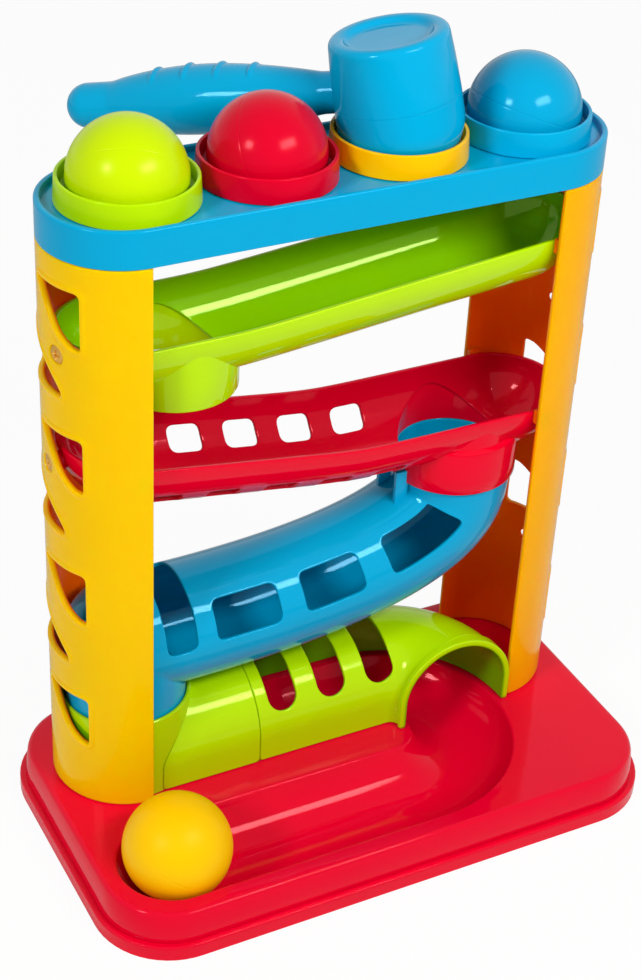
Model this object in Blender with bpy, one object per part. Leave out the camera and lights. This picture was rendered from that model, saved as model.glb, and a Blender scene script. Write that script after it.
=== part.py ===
"""Ball pounding tower: four balls are hammered through rings in a deck, roll down two
troughs and a curved tube, pass a tunnel on the base and stop in the tray at the front.
Metres, +Z up, +X towards the right post, +Y to the rear. The origin is on the floor,
midway between the two posts."""
import math

import bmesh
import bpy
import numpy as np
from mathutils import Matrix, Vector

# Driving sizes that several pieces share
BALL_RADIUS = 0.0225
TROUGH_PLAY = 0.0015
TROUGH_WALL = 0.0019
POST_CLEARANCE = 0.0027
POST_WALL = 0.0024
TROUGH_INNER = BALL_RADIUS + TROUGH_PLAY
END_RADIUS = TROUGH_INNER + TROUGH_WALL + POST_CLEARANCE + POST_WALL
RING_SPACE = 0.0014
END_MARGIN = 0.0029
PLATEAU_HEIGHT = 0.021
SEAT_GAP = 0.0003
OVERRUN = 0.004
WELD = 0.000001

# Facets
ROUND_SIDES = 18
HALF_SIDES = 10
BALL_SIDES = 16
BALL_BANDS = 9
GRIP_SIDES = 16
RIB_SIDES = 5
RIB_STEPS = 4
POST_SIDES = 13
SCREW_SIDES = 10
SCREW_TURN = math.radians(11.0)
CAP_STEPS = 4
CAP_TURN = math.radians(86.0)
TURN_STEPS = 7
CUTTER_FACET = math.radians(34.0)

# Deck
DECK_HEIGHT = 0.015
DECK_WALL = 0.0024
DECK_RIM = 0.0025
DECK_EDGE = 0.0012
RING_COLOURS = ("lime", "red", "orange", "blue")
STIFFENER_WALL = 0.002

# Rings
RING_TOP_RISE = 0.0101
RING_PLAY = 0.0027
RING_TOP_STEP = 0.0012
RING_DRAFT = 0.0006
RING_LIP_WIDTH = 0.0015
RING_SHOULDER_DROP = 0.0062
RING_THROAT_HEIGHT = 0.0030
RING_STEM_RADIUS = BALL_RADIUS + RING_PLAY
RING_TOP_RADIUS = RING_STEM_RADIUS + RING_TOP_STEP
RING_BOTTOM_RADIUS = RING_TOP_RADIUS + RING_DRAFT
RING_PITCH = 2 * RING_BOTTOM_RADIUS + RING_SPACE
RING_STEM_WALL = 0.0014
RING_STEM_DROP = 0.0068
RING_BARB = 0.0006
BALL_ABOVE_DECK = 0.0067

# Posts
POST_TONGUE_WALL = 0.0018
POST_TONGUE_RISE = 0.0085
POST_FOOT_DROP = 0.0062
POST_FOOT_WALL = 0.0016
WINDOW_PITCH_SHARE = 0.2468
WINDOW_HEIGHT_SHARE = 0.379
WINDOW_TOP_DROP = 0.0118
WINDOW_EDGE_ANGLE = math.radians(39.0)
FRONT_TIP_ANGLE = math.radians(-7.0)
FRONT_DEPTH_SHARES = (0.0, 0.10, 0.30, 0.62, 0.90, 1.0)
FRONT_SLOPE_SHARES = (0.0, 0.10, 0.25, 0.47, 0.74, 0.93)
REAR_TIP_ANGLE = math.radians(-23.0)
REAR_DEPTH_SHARES = (0.0, 0.13, 0.32, 0.60, 0.88, 1.0)
REAR_SLOPE_SHARES = (0.0, 0.05, 0.17, 0.43, 0.75, 0.93)
WINDOW_CORNER = 0.0022
FRONT_WINDOWS = 4
REAR_WINDOWS = 3
REAR_WINDOW_SHARE = 0.734
HOLE_RADIUS = 0.0019
HOLE_SINK_RADIUS = 0.0038
HOLE_SINK_DEPTH = 0.0009
SCREW_CROWN_SHARE = 0.8

TOP_SCREW_DROP = 0.0030
TOP_SCREW_ANGLE = math.radians(17.0)
MIDDLE_SCREW_DROP = 0.0064
MIDDLE_SCREW_ANGLE = math.radians(1.0)
SPARE_HOLE_SHARES = (0.712, 0.224)
SPARE_HOLE_ANGLE = math.radians(-18.0)
CLIP_LENGTH = 0.0050
CLIP_HEIGHT = 0.0050
CLIP_BITE = 0.0012

# Troughs
TROUGH_BLEND = 0.006
BEND_SHARES = (-2.0, 0.0, 2.0)
DROP_HOLE_PLAY = 0.0009
DROP_HOLE_RADIUS = BALL_RADIUS + DROP_HOLE_PLAY
DROP_X = 0.0645
DECK_SPACING = 0.0372
TOP_SLOPE = 0.100
TOP_BEND_X = -0.045
TOP_SPOUT_WALL = 0.0016
TOP_SPOUT_RADIUS = DROP_HOLE_RADIUS + TOP_SPOUT_WALL
TOP_SPOUT_DEPTH = 0.0298
TROUGH_SPACING = 0.0655
MIDDLE_SLOPE = 0.148
MIDDLE_BEND_X = 0.008
MIDDLE_SPOUT_WALL = 0.0017
MIDDLE_SPOUT_DEPTH = 0.0338
MIDDLE_SPOUT_RISE = 0.0120
SOCKET_DEPTH = 0.0065
SLOT_WINDOW_WIDTH = 0.0145
SLOT_WINDOW_PITCH = 0.0249
SLOT_WINDOW_FIRST_X = -0.0762
SLOT_WINDOW_COUNT = 5
SLOT_WINDOW_LOW = math.radians(40.0)
SLOT_WINDOW_HIGH = math.radians(67.0)
SLOT_WINDOW_CORNER = 0.003

# Curved tube
TUBE_PLAY = 0.0011
TUBE_INNER = BALL_RADIUS + TUBE_PLAY
TUBE_WALL = 0.0018
TUBE_CLEARANCE = 0.0013
TUBE_DROP = 0.0473
TUBE_BEND_SHARE = 0.72
TUBE_LEVEL_SHARE = 0.54
TUBE_NECK_STRAIGHT = 0.012
TUBE_STEPS = 10
TUBE_SPOUT_DEPTH = 0.006
TUBE_WINDOW_LOW = math.radians(40.0)
TUBE_WINDOW_HIGH = math.radians(81.0)
TUBE_WINDOW_CORNER = 0.0035
TUBE_WINDOWS_X = ((-0.0548, -0.0250), (-0.0137, 0.0146))
TUBE_BEND_WINDOW = (0.0230, 0.0640)
SADDLE_WINDOW_X = (-0.0772, -0.0637)
SADDLE_WINDOW_LOW = math.radians(-42.0)
SADDLE_WINDOW_HIGH = math.radians(84.0)

# Tunnel
TUNNEL_PLAY = 0.0021
TUNNEL_INNER = BALL_RADIUS + TUNNEL_PLAY
TUNNEL_WALL = 0.0020
TUNNEL_SIDE_HEIGHT = 0.0117
TUNNEL_STEP = 0.0004
TUNNEL_SEAM_X = -0.0350
TUNNEL_TURN_X = 0.0270
TUNNEL_TURN_RADIUS = 0.0310
TUNNEL_MOUTH_RUN = 0.0016
TUNNEL_RIM_LENGTH = 0.0040
TUNNEL_RIM_RISE = 0.0009
COLLAR_RISE = 0.0009
COLLAR_WALL = 0.0016
TUNNEL_SLOT_WIDTH = 0.0134
TUNNEL_SLOT_PITCH = 0.0234
TUNNEL_SLOT_FIRST_X = -0.0225
TUNNEL_SLOT_COUNT = 3
TUNNEL_SLOT_END_SHARE = 0.49
TUNNEL_SLOT_ANGLE = math.radians(66.5)

# Base
BASE_END_MARGIN = 0.0105
BASE_REAR_MARGIN = 0.0155
BASE_FRONT_MARGIN = 0.0110
BASE_CORNER = 0.0330
BASE_WALL = 0.0024
FLANGE_HEIGHT = 0.0068
FLANGE_WIDTH = 0.0032
FLANGE_EDGE = 0.0010
PLATEAU_DRAFT = 0.0006
PLATEAU_EDGE = 0.0022
CORNER_STEPS = 5
CHANNEL_PLAY = 0.0015
CHANNEL_RADIUS = BALL_RADIUS + CHANNEL_PLAY
CHANNEL_WALL = 0.0019
CHANNEL_START_FLOOR = 0.0085
CHANNEL_END_FLOOR = 0.0036
CHANNEL_END_SHIFT = 0.0065
BALL_REST_SHIFT = 0.0020
FRONT_TURN_RADIUS = 0.0345
FRONT_TURN_SHIFT = 0.0030
RIB_WALL = 0.0020
CENTRE_BOSS_RADIUS = 0.0060
END_REST_GAP = 0.0008

# Hammer
HAMMER_TURN = math.radians(137.4)
HAMMER_LEAN = math.radians(12.0)
HAMMER_HEAD_LENGTH = 0.0454
HAMMER_PLAY = 0.0013
HAMMER_FLARE = 0.0036
HAMMER_TAPER = 0.0019
HAMMER_FACE_RADIUS = BALL_RADIUS - HAMMER_PLAY
HAMMER_WAIST_RADIUS = HAMMER_FACE_RADIUS + HAMMER_FLARE
HAMMER_TOP_RADIUS = HAMMER_WAIST_RADIUS - HAMMER_TAPER
HAMMER_SEAM_HEIGHT = 0.0205
HAMMER_EDGE = 0.0016
HAMMER_EDGE_SHARE = 0.35
HAMMER_SPIGOT = 0.0030
HAMMER_DISH_RADIUS = 0.0165
HAMMER_DISH_DEPTH = 0.0022
HAMMER_DISH_FLOOR_SHARE = 0.9
HAMMER_SHIFT = 0.0025
HAMMER_SINK = 0.0015
HAMMER_WALL = 0.0022
HANDLE_HEIGHT = 0.0233
HANDLE_LENGTH = 0.1343
HANDLE_NECK_RADIUS = 0.0080
HANDLE_GRIP_RADIUS = 0.0138
HANDLE_KNOB_RADIUS = 0.0088
HANDLE_ROOT = 0.0180
HANDLE_SWELL_SHARES = (0.12, 0.25, 0.4, 0.55, 0.7, 0.82, 0.92)
HANDLE_SWELL_LEAN_SHARE = 1.15
HANDLE_SWELL_FULL_SHARE = 0.8
HANDLE_KNOB_SHARE = 2.3
HANDLE_RIB_COUNT = 4
HANDLE_RIB_ANGLE = math.radians(62.0)
HANDLE_RIB_PITCH = 0.0133
HANDLE_RIB_START = 0.0550
HANDLE_RIB_RADIUS = 0.0014
HANDLE_RIB_RISE = 0.0004

# Values worked out from the sizes above, from the floor up
END_CENTRE_X = RING_PITCH * (len(RING_COLOURS) - 1) / 2 + END_MARGIN
TUNNEL_CENTRE_Z = PLATEAU_HEIGHT + SEAT_GAP + TUNNEL_SIDE_HEIGHT
COLLAR_RIM_HEIGHT = TUNNEL_CENTRE_Z + TUNNEL_INNER + TUNNEL_WALL + COLLAR_RISE
TUBE_AXIS_LOW = COLLAR_RIM_HEIGHT + TUBE_INNER + TUBE_WALL + TUBE_CLEARANCE
MIDDLE_SPOUT_END = TUBE_AXIS_LOW + TUBE_DROP
MIDDLE_BOWL_RIM = MIDDLE_SPOUT_END + MIDDLE_SPOUT_DEPTH
TOP_BOWL_RIM = MIDDLE_BOWL_RIM + TROUGH_SPACING
TOP_SPOUT_END = TOP_BOWL_RIM - TOP_SPOUT_DEPTH
DECK_BOTTOM = TOP_BOWL_RIM + DECK_SPACING
TOWER_HEIGHT = DECK_BOTTOM + DECK_HEIGHT
POST_HEIGHT = DECK_BOTTOM - PLATEAU_HEIGHT
WINDOW_PITCH = POST_HEIGHT * WINDOW_PITCH_SHARE
WINDOW_HEIGHT = WINDOW_PITCH * WINDOW_HEIGHT_SHARE
TOP_SCREW_HEIGHT = TOP_BOWL_RIM - TOP_SCREW_DROP
MIDDLE_LEFT_END = END_CENTRE_X + TROUGH_INNER
MIDDLE_SCREW_HEIGHT = MIDDLE_BOWL_RIM + MIDDLE_SLOPE * (MIDDLE_LEFT_END + MIDDLE_BEND_X) - MIDDLE_SCREW_DROP
BASE_HALF_LENGTH = END_CENTRE_X + END_RADIUS + BASE_END_MARGIN
CHANNEL_END_X = -END_CENTRE_X - CHANNEL_END_SHIFT
FRONT_CHANNEL_Y = -TUNNEL_TURN_RADIUS - FRONT_TURN_RADIUS
BASE_REAR = END_RADIUS + BASE_REAR_MARGIN
BASE_FRONT = FRONT_CHANNEL_Y - CHANNEL_RADIUS - BASE_FRONT_MARGIN
BASE_HALF_WIDTH = (BASE_REAR - BASE_FRONT) / 2
BASE_CENTRE_Y = (BASE_REAR + BASE_FRONT) / 2
DECK_FLOOR = TOWER_HEIGHT - DECK_RIM
BALL_SEAT_HEIGHT = TOWER_HEIGHT + BALL_ABOVE_DECK
POST_INNER = END_RADIUS - POST_WALL
POST_GAP = 2 * SEAT_GAP
SCREW_START = TROUGH_INNER + TROUGH_WALL / 2
RING_X = [(index - (len(RING_COLOURS) - 1) / 2) * RING_PITCH for index in range(len(RING_COLOURS))]

COLOURS = {
    "lime": (0.46, 0.72, 0.0),
    "red": (0.78, 0.0, 0.02),
    "blue": (0.0, 0.39, 0.68),
    "orange": (1.0, 0.50, 0.0),
    "yellow": (1.0, 0.52, 0.0),
}


def clear_scene():
    for item in list(bpy.data.objects):
        bpy.data.objects.remove(item, do_unlink=True)


def plastic(name, colour):
    """A glossy moulded plastic in one of the toy's colours."""
    found = bpy.data.materials.get(name)
    if found:
        return found
    made = bpy.data.materials.new(name)
    made.use_nodes = True
    shader = made.node_tree.nodes["Principled BSDF"]
    shader.inputs["Base Color"].default_value = (*COLOURS[colour], 1.0)
    shader.inputs["Roughness"].default_value = 0.25
    shader.inputs["Metallic"].default_value = 0.0
    return made


def solid(name, points, faces):
    """A closed mesh object whose faces all point outwards."""
    mesh = bpy.data.meshes.new(name)
    mesh.from_pydata([tuple(point) for point in points], [], faces)
    work = bmesh.new()
    work.from_mesh(mesh)
    bmesh.ops.remove_doubles(work, verts=work.verts, dist=WELD)
    bmesh.ops.recalc_face_normals(work, faces=work.faces)
    work.to_mesh(mesh)
    work.free()
    item = bpy.data.objects.new(name, mesh)
    bpy.context.collection.objects.link(item)
    return item


def skin(name, loops, ring=False):
    """Joins loops of equal count in turn: capped at both ends, or closed into a ring."""
    loops = np.asarray(loops, dtype=float)
    rows, count = loops.shape[:2]
    spans = rows if ring else rows - 1
    faces = []
    for row in range(spans):
        near, far = row * count, (row + 1) % rows * count
        for column in range(count):
            after = (column + 1) % count
            faces.append((near + column, near + after, far + after, far + column))
    if not ring:
        faces.append(tuple(range(count)))
        faces.append(tuple(range((rows - 1) * count, rows * count)))
    return solid(name, loops.reshape(-1, 3), faces)


def combine(target, tool, operation="DIFFERENCE"):
    """Cuts the tool out of the target, or joins it on, and removes the tool."""
    change = target.modifiers.new("combine", "BOOLEAN")
    change.solver = "EXACT"
    change.operation = operation
    change.object = tool
    bpy.context.view_layer.update()
    graph = bpy.context.evaluated_depsgraph_get()
    result = bpy.data.meshes.new_from_object(target.evaluated_get(graph))
    target.modifiers.clear()
    target.data = result
    bpy.data.objects.remove(tool, do_unlink=True)
    return target


def finish(item, name, colour):
    """Names the piece, gives it its plastic and smooths its round faces."""
    item.name = name
    item.data.name = name
    item.data.materials.clear()
    item.data.materials.append(plastic(colour + "_plastic", colour))
    item.data.polygons.foreach_set("material_index", [0] * len(item.data.polygons))
    item.data.shade_smooth()
    item.data.set_sharp_from_angle(angle=math.radians(32.0))
    return item


def angles(start, end, steps):
    return np.linspace(start, end, steps + 1)


def circle_loop(radius, centre_x, centre_y, height, sides=ROUND_SIDES):
    turn = angles(0.0, 2 * math.pi, sides)[:-1]
    return np.stack([centre_x + radius * np.cos(turn), centre_y + radius * np.sin(turn),
                     np.full(sides, height)], axis=1)


def upright_round(name, profile, centre_x, centre_y=0.0, ring=False):
    """A turned piece on a vertical axis, from (radius, height) pairs."""
    return skin(name, [circle_loop(radius, centre_x, centre_y, height) for radius, height in profile], ring)


def block(name, low, high):
    corners = [(x, y, z) for z in (low[2], high[2]) for x, y in
               ((low[0], low[1]), (high[0], low[1]), (high[0], high[1]), (low[0], high[1]))]
    faces = [(0, 1, 2, 3), (4, 5, 6, 7), (0, 1, 5, 4), (1, 2, 6, 5), (2, 3, 7, 6), (3, 0, 4, 7)]
    return solid(name, corners, faces)


def wall_cutter(name, place, stations, low, high, near, far):
    """A cutter for a window in a round wall. At each station it runs from the low to the
    high angle, and between the near and far radius; place turns the three into a point."""
    across = max(1, math.ceil(np.max(high - low) / CUTTER_FACET))
    rows, columns = len(stations), across + 1
    points = []
    for radius in (near, far):
        for station, bottom, top in zip(stations, low, high):
            for angle in angles(bottom, top, across):
                points.append(place(station, angle, radius))
    layer = rows * columns
    faces = []
    for row in range(rows - 1):
        for column in range(columns - 1):
            corner = row * columns + column
            patch = (corner, corner + 1, corner + columns + 1, corner + columns)
            faces.append(patch)
            faces.append(tuple(index + layer for index in reversed(patch)))
        for column in (0, columns - 1):
            edge = row * columns + column
            faces.append((edge, edge + columns, edge + columns + layer, edge + layer))
    for column in range(columns - 1):
        for edge in (column, (rows - 1) * columns + column):
            faces.append((edge, edge + 1, edge + 1 + layer, edge + layer))
    return solid(name, points, faces)


def rounded_stations(centre, width, corner, steps):
    """Places across a window, close together where its corners are round."""
    half = width / 2
    curve = corner * (1.0 - np.cos(angles(0.0, math.pi / 2, steps)))
    left = centre - half + curve
    return np.concatenate([left, (2 * centre - left)[::-1]])


def rounded_inset(stations, centre, width, corner):
    """How far a round corner draws the window's edge in at each station."""
    reach = np.clip(np.abs(stations - centre) - (width / 2 - corner), 0.0, corner)
    return corner - np.sqrt(np.maximum(corner ** 2 - reach ** 2, 0.0))


def rounded_window(name, place, centre, width, corner, low, high, radius, wall, steps=2):
    """A window with round corners through a wall of the given outer radius."""
    stations = rounded_stations(centre, width, corner, steps)
    inset = rounded_inset(stations, centre, width, corner) / radius
    return wall_cutter(name, place, stations, low + inset, high - inset,
                       radius - wall - OVERRUN, radius + OVERRUN)


# The ball and its seat
def make_ball(name, colour, place):
    bpy.ops.mesh.primitive_uv_sphere_add(segments=BALL_SIDES, ring_count=BALL_BANDS, radius=BALL_RADIUS, location=place)
    return finish(bpy.context.active_object, name, colour)


def make_ring(name, colour, centre_x):
    """A collar with a flange that sits on the deck and a stem that snaps under it."""
    top = DECK_FLOOR + RING_TOP_RISE
    shoulder = top - RING_SHOULDER_DROP
    throat = math.sqrt(BALL_RADIUS ** 2 - (BALL_SEAT_HEIGHT - shoulder) ** 2) + SEAT_GAP
    flange = DECK_FLOOR + SEAT_GAP
    stem_end = DECK_FLOOR - RING_STEM_DROP
    barb_top = DECK_FLOOR - DECK_WALL - SEAT_GAP
    inner_top = RING_TOP_RADIUS - RING_LIP_WIDTH
    stem_inner = RING_STEM_RADIUS - RING_STEM_WALL
    profile = [
        (RING_BOTTOM_RADIUS, flange), (RING_TOP_RADIUS, top), (inner_top, top),
        (inner_top, shoulder), (throat, shoulder), (throat, shoulder - RING_THROAT_HEIGHT),
        (stem_inner, stem_end),
        (RING_STEM_RADIUS, stem_end), (RING_STEM_RADIUS + RING_BARB, barb_top),
        (RING_STEM_RADIUS, barb_top), (RING_STEM_RADIUS, flange),
    ]
    return finish(upright_round(name, profile, centre_x, ring=True), name, colour)


# The deck
def stadium_loop(radius, height, steps=POST_SIDES):
    right = angles(-math.pi / 2, math.pi / 2, steps)
    left = right + math.pi
    loop = [(END_CENTRE_X + radius * math.cos(a), radius * math.sin(a), height) for a in right]
    return loop + [(-END_CENTRE_X + radius * math.cos(a), radius * math.sin(a), height) for a in left]


def make_deck():
    """A stadium tray: a skirt, a floor a little below its rim, and four ring seats."""
    inner = END_RADIUS - DECK_WALL
    deck = skin("deck", [stadium_loop(END_RADIUS, DECK_BOTTOM),
                         stadium_loop(END_RADIUS, TOWER_HEIGHT - DECK_EDGE),
                         stadium_loop(END_RADIUS - DECK_EDGE, TOWER_HEIGHT)])
    combine(deck, skin("recess", [stadium_loop(inner, DECK_FLOOR), stadium_loop(inner, TOWER_HEIGHT + OVERRUN)]))
    cavity = skin("cavity", [stadium_loop(inner, DECK_BOTTOM - OVERRUN),
                             stadium_loop(inner, DECK_FLOOR - DECK_WALL)])
    for middle in (np.array(RING_X[:-1]) + RING_PITCH / 2):
        rib = block("rib", (middle - STIFFENER_WALL / 2, -END_RADIUS, DECK_BOTTOM + DECK_WALL),
                    (middle + STIFFENER_WALL / 2, END_RADIUS, TOWER_HEIGHT))
        combine(cavity, rib)
    combine(deck, cavity)
    for centre_x in RING_X:
        seat = RING_STEM_RADIUS + SEAT_GAP
        combine(deck, upright_round("seat", [(seat, DECK_BOTTOM), (seat, TOWER_HEIGHT)], centre_x))
    return finish(deck, "deck", "blue")


# The posts
def post_loop(side, outer, inner, height):
    turn = angles(-math.pi / 2, math.pi / 2, POST_SIDES)
    loop = [(side * (END_CENTRE_X + outer * math.cos(a)), -outer * math.sin(a), height) for a in turn]
    return loop + [(side * (END_CENTRE_X + inner * math.cos(a)), -inner * math.sin(a), height)
                   for a in turn[::-1]]


def post_place(side):
    def place(height, angle, radius):
        return (side * (END_CENTRE_X + radius * math.cos(angle)), -radius * math.sin(angle), height)
    return place


def post_window(place, flat_height, rear):
    """A D-shaped window: one level edge, one upright edge and a bowed slope between them.
    The rear kind stands the other way up and faces the other way."""
    tip, depths, slopes = FRONT_TIP_ANGLE, FRONT_DEPTH_SHARES, FRONT_SLOPE_SHARES
    if rear:
        tip, depths, slopes = REAR_TIP_ANGLE, REAR_DEPTH_SHARES, REAR_SLOPE_SHARES
    depth = WINDOW_HEIGHT * np.array(depths)
    low = tip + (WINDOW_EDGE_ANGLE - tip) * np.array(slopes)
    corner = np.clip(WINDOW_CORNER - np.minimum(depth, WINDOW_HEIGHT - depth), 0.0, None)
    high = WINDOW_EDGE_ANGLE - corner / 2 / END_RADIUS
    if rear:
        low, high = -high, -low
        stations = flat_height + depth
    else:
        stations = flat_height - depth
    return wall_cutter("window", place, stations, low, high, POST_INNER - OVERRUN, END_RADIUS + 2 * OVERRUN)


def radial_round(name, place, height, angle, profile):
    """A small turned piece whose axis points out of a post's wall; profile is (radius, reach)."""
    origin = Vector(place(height, angle, 0.0))
    out = (Vector(place(height, angle, 1.0)) - origin).normalized()
    up = Vector((0.0, 0.0, 1.0))
    along = out.cross(up)
    loops = []
    for radius, reach in profile:
        loops.append([origin + out * reach + (up * math.cos(a) + along * math.sin(a)) * radius
                      for a in SCREW_TURN + angles(0.0, 2 * math.pi, SCREW_SIDES)[:-1]])
    return skin(name, loops)


def make_post(name, side):
    """Half of a round tube, open inwards, with a zigzag ribbon left between its windows."""
    bottom = PLATEAU_HEIGHT + SEAT_GAP
    top = DECK_BOTTOM - SEAT_GAP
    post = skin(name, [post_loop(side, END_RADIUS, POST_INNER, height) for height in (bottom, top)])
    middle = END_RADIUS - POST_WALL / 2
    half = POST_FOOT_WALL / 2
    foot = skin("foot", [post_loop(side, middle + half, middle - half, height)
                         for height in (bottom - POST_FOOT_DROP, bottom + POST_WALL)])
    combine(post, foot, "UNION")
    tongue_outer = END_RADIUS - DECK_WALL - SEAT_GAP
    tongue_inner = tongue_outer - POST_TONGUE_WALL
    tongue = skin("tongue", [
        post_loop(side, middle, POST_INNER, top - 3 * POST_WALL),
        post_loop(side, middle, tongue_inner, top - POST_WALL),
        post_loop(side, middle, tongue_inner, top - POST_WALL / 2),
        post_loop(side, tongue_outer, tongue_inner, top),
        post_loop(side, tongue_outer, tongue_inner, top + POST_TONGUE_RISE)])
    combine(post, tongue, "UNION")
    place = post_place(side)
    first = DECK_BOTTOM - WINDOW_TOP_DROP
    for index in range(FRONT_WINDOWS):
        combine(post, post_window(place, first - index * WINDOW_PITCH, rear=False))
    for index in range(REAR_WINDOWS):
        combine(post, post_window(place, first - REAR_WINDOW_SHARE * WINDOW_PITCH - index * WINDOW_PITCH, rear=True))
    if side < 0:
        holes = [(TOP_SCREW_HEIGHT, TOP_SCREW_ANGLE), (MIDDLE_SCREW_HEIGHT, MIDDLE_SCREW_ANGLE)]
    else:
        holes = [(PLATEAU_HEIGHT + share * POST_HEIGHT, SPARE_HOLE_ANGLE) for share in SPARE_HOLE_SHARES]
    for height, angle in holes:
        combine(post, radial_round("hole", place, height, angle,
                                   [(HOLE_RADIUS, POST_INNER - OVERRUN),
                                    (HOLE_RADIUS, END_RADIUS - HOLE_SINK_DEPTH),
                                    (HOLE_SINK_RADIUS, END_RADIUS - HOLE_SINK_DEPTH),
                                    (HOLE_SINK_RADIUS, END_RADIUS + OVERRUN)]))
    for rim in (top_rim, middle_rim):
        for face in (-1, 1):
            combine(post, trough_clip(side, face, rim(side * END_CENTRE_X)), "UNION")
    return finish(post, name, "orange")


def trough_clip(side, face, rim_height):
    """A small jaw on the post's inner edge that a trough's rim end rests in."""
    near = TROUGH_INNER + TROUGH_WALL + SEAT_GAP
    far = POST_INNER + POST_WALL / 2
    ends = sorted((side * (END_CENTRE_X + SEAT_GAP), side * (END_CENTRE_X + CLIP_LENGTH)))
    depths = sorted((face * near, face * far))
    return block("clip", (ends[0], depths[0], rim_height - CLIP_HEIGHT),
                 (ends[1], depths[1], rim_height + CLIP_BITE))


# The troughs
def softened(distance):
    """A ramp that starts smoothly: zero well before the bend and straight well past it."""
    return TROUGH_BLEND * np.log1p(np.exp(distance / TROUGH_BLEND))


def top_rim(x):
    return TOP_BOWL_RIM + TOP_SLOPE * softened(x - TOP_BEND_X)


def middle_rim(x):
    return MIDDLE_BOWL_RIM + MIDDLE_SLOPE * softened(MIDDLE_BEND_X - x)


def trough_stations(radius, bend_x):
    """(x, section radius) pairs: round ends about the posts' centres, and the bend between."""
    turn = angles(0.0, CAP_TURN, CAP_STEPS)
    cap = [(END_CENTRE_X + radius * math.sin(a), radius * math.cos(a)) for a in turn]
    bend = [(bend_x + share * TROUGH_BLEND, radius) for share in BEND_SHARES]
    return [(-x, r) for x, r in cap[::-1]] + bend + cap


def trough_body(name, rim, radius, bend_x, lift):
    """A half-round bar under the rim line, with its top raised by the lift."""
    loops = []
    for x, section in trough_stations(radius, bend_x):
        turn = angles(-math.pi / 2, math.pi / 2, HALF_SIDES)
        level = float(rim(x))
        loop = [(x, section * math.sin(a), level - section * math.cos(a)) for a in turn]
        loop += [(x, section, level + lift), (x, -section, level + lift)]
        loops.append(loop)
    return skin(name, loops)


def trough_place(rim):
    def place(x, angle, radius):
        return (x, -radius * math.sin(angle), float(rim(x)) - radius * math.cos(angle))
    return place


def screw_boss(height, angle):
    """A pad on a trough's left end that fills the gap to the post and takes a screw."""
    return radial_round("boss", post_place(-1), height, angle,
                        [(HOLE_SINK_RADIUS, TROUGH_INNER - TROUGH_WALL), (HOLE_SINK_RADIUS, POST_INNER - POST_GAP)])


def screw_bore(height, angle):
    return radial_round("bore", post_place(-1), height, angle,
                        [(HOLE_RADIUS, SCREW_START), (HOLE_RADIUS, POST_INNER + OVERRUN)])


def make_top_trough():
    outer = TROUGH_INNER + TROUGH_WALL
    trough = trough_body("trough", top_rim, outer, TOP_BEND_X, SEAT_GAP)
    combine(trough, upright_round("spout", [(TOP_SPOUT_RADIUS, TOP_SPOUT_END),
                                            (TOP_SPOUT_RADIUS, TOP_BOWL_RIM - TROUGH_WALL)], -DROP_X), "UNION")
    combine(trough, screw_boss(TOP_SCREW_HEIGHT, TOP_SCREW_ANGLE), "UNION")
    combine(trough, trough_body("hollow", top_rim, TROUGH_INNER, TOP_BEND_X, 2 * OVERRUN))
    combine(trough, upright_round("drop", [(DROP_HOLE_RADIUS, TOP_SPOUT_END - OVERRUN),
                                           (DROP_HOLE_RADIUS, TOP_BOWL_RIM)], -DROP_X))
    combine(trough, screw_bore(TOP_SCREW_HEIGHT, TOP_SCREW_ANGLE))
    return finish(trough, "trough_top", "lime")


def make_middle_trough():
    outer = TROUGH_INNER + TROUGH_WALL
    socket = TUBE_INNER + TUBE_WALL + SEAT_GAP
    trough = trough_body("trough", middle_rim, outer, MIDDLE_BEND_X, SEAT_GAP)
    bottom = MIDDLE_BOWL_RIM - outer
    spout = socket + MIDDLE_SPOUT_WALL
    sleeve = DROP_HOLE_RADIUS + MIDDLE_SPOUT_WALL
    combine(trough, upright_round("spout", [(spout, MIDDLE_SPOUT_END), (spout, bottom + MIDDLE_SPOUT_RISE),
                                            (sleeve, bottom + MIDDLE_SPOUT_RISE),
                                            (sleeve, MIDDLE_BOWL_RIM - TROUGH_WALL)], DROP_X), "UNION")
    combine(trough, screw_boss(MIDDLE_SCREW_HEIGHT, MIDDLE_SCREW_ANGLE), "UNION")
    combine(trough, trough_body("hollow", middle_rim, TROUGH_INNER, MIDDLE_BEND_X, 2 * OVERRUN))
    combine(trough, upright_round("drop", [(socket, MIDDLE_SPOUT_END - OVERRUN),
                                           (socket, MIDDLE_SPOUT_END + SOCKET_DEPTH),
                                           (DROP_HOLE_RADIUS, MIDDLE_SPOUT_END + SOCKET_DEPTH),
                                           (DROP_HOLE_RADIUS, MIDDLE_BOWL_RIM)], DROP_X))
    place = trough_place(middle_rim)
    for index in range(SLOT_WINDOW_COUNT):
        centre = SLOT_WINDOW_FIRST_X + index * SLOT_WINDOW_PITCH
        for low, high in ((SLOT_WINDOW_LOW, SLOT_WINDOW_HIGH), (-SLOT_WINDOW_HIGH, -SLOT_WINDOW_LOW)):
            combine(trough, rounded_window("window", place, centre, SLOT_WINDOW_WIDTH, SLOT_WINDOW_CORNER,
                                           low, high, outer, TROUGH_WALL, steps=1))
    combine(trough, screw_bore(MIDDLE_SCREW_HEIGHT, MIDDLE_SCREW_ANGLE))
    return finish(trough, "trough_middle", "red")


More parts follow.
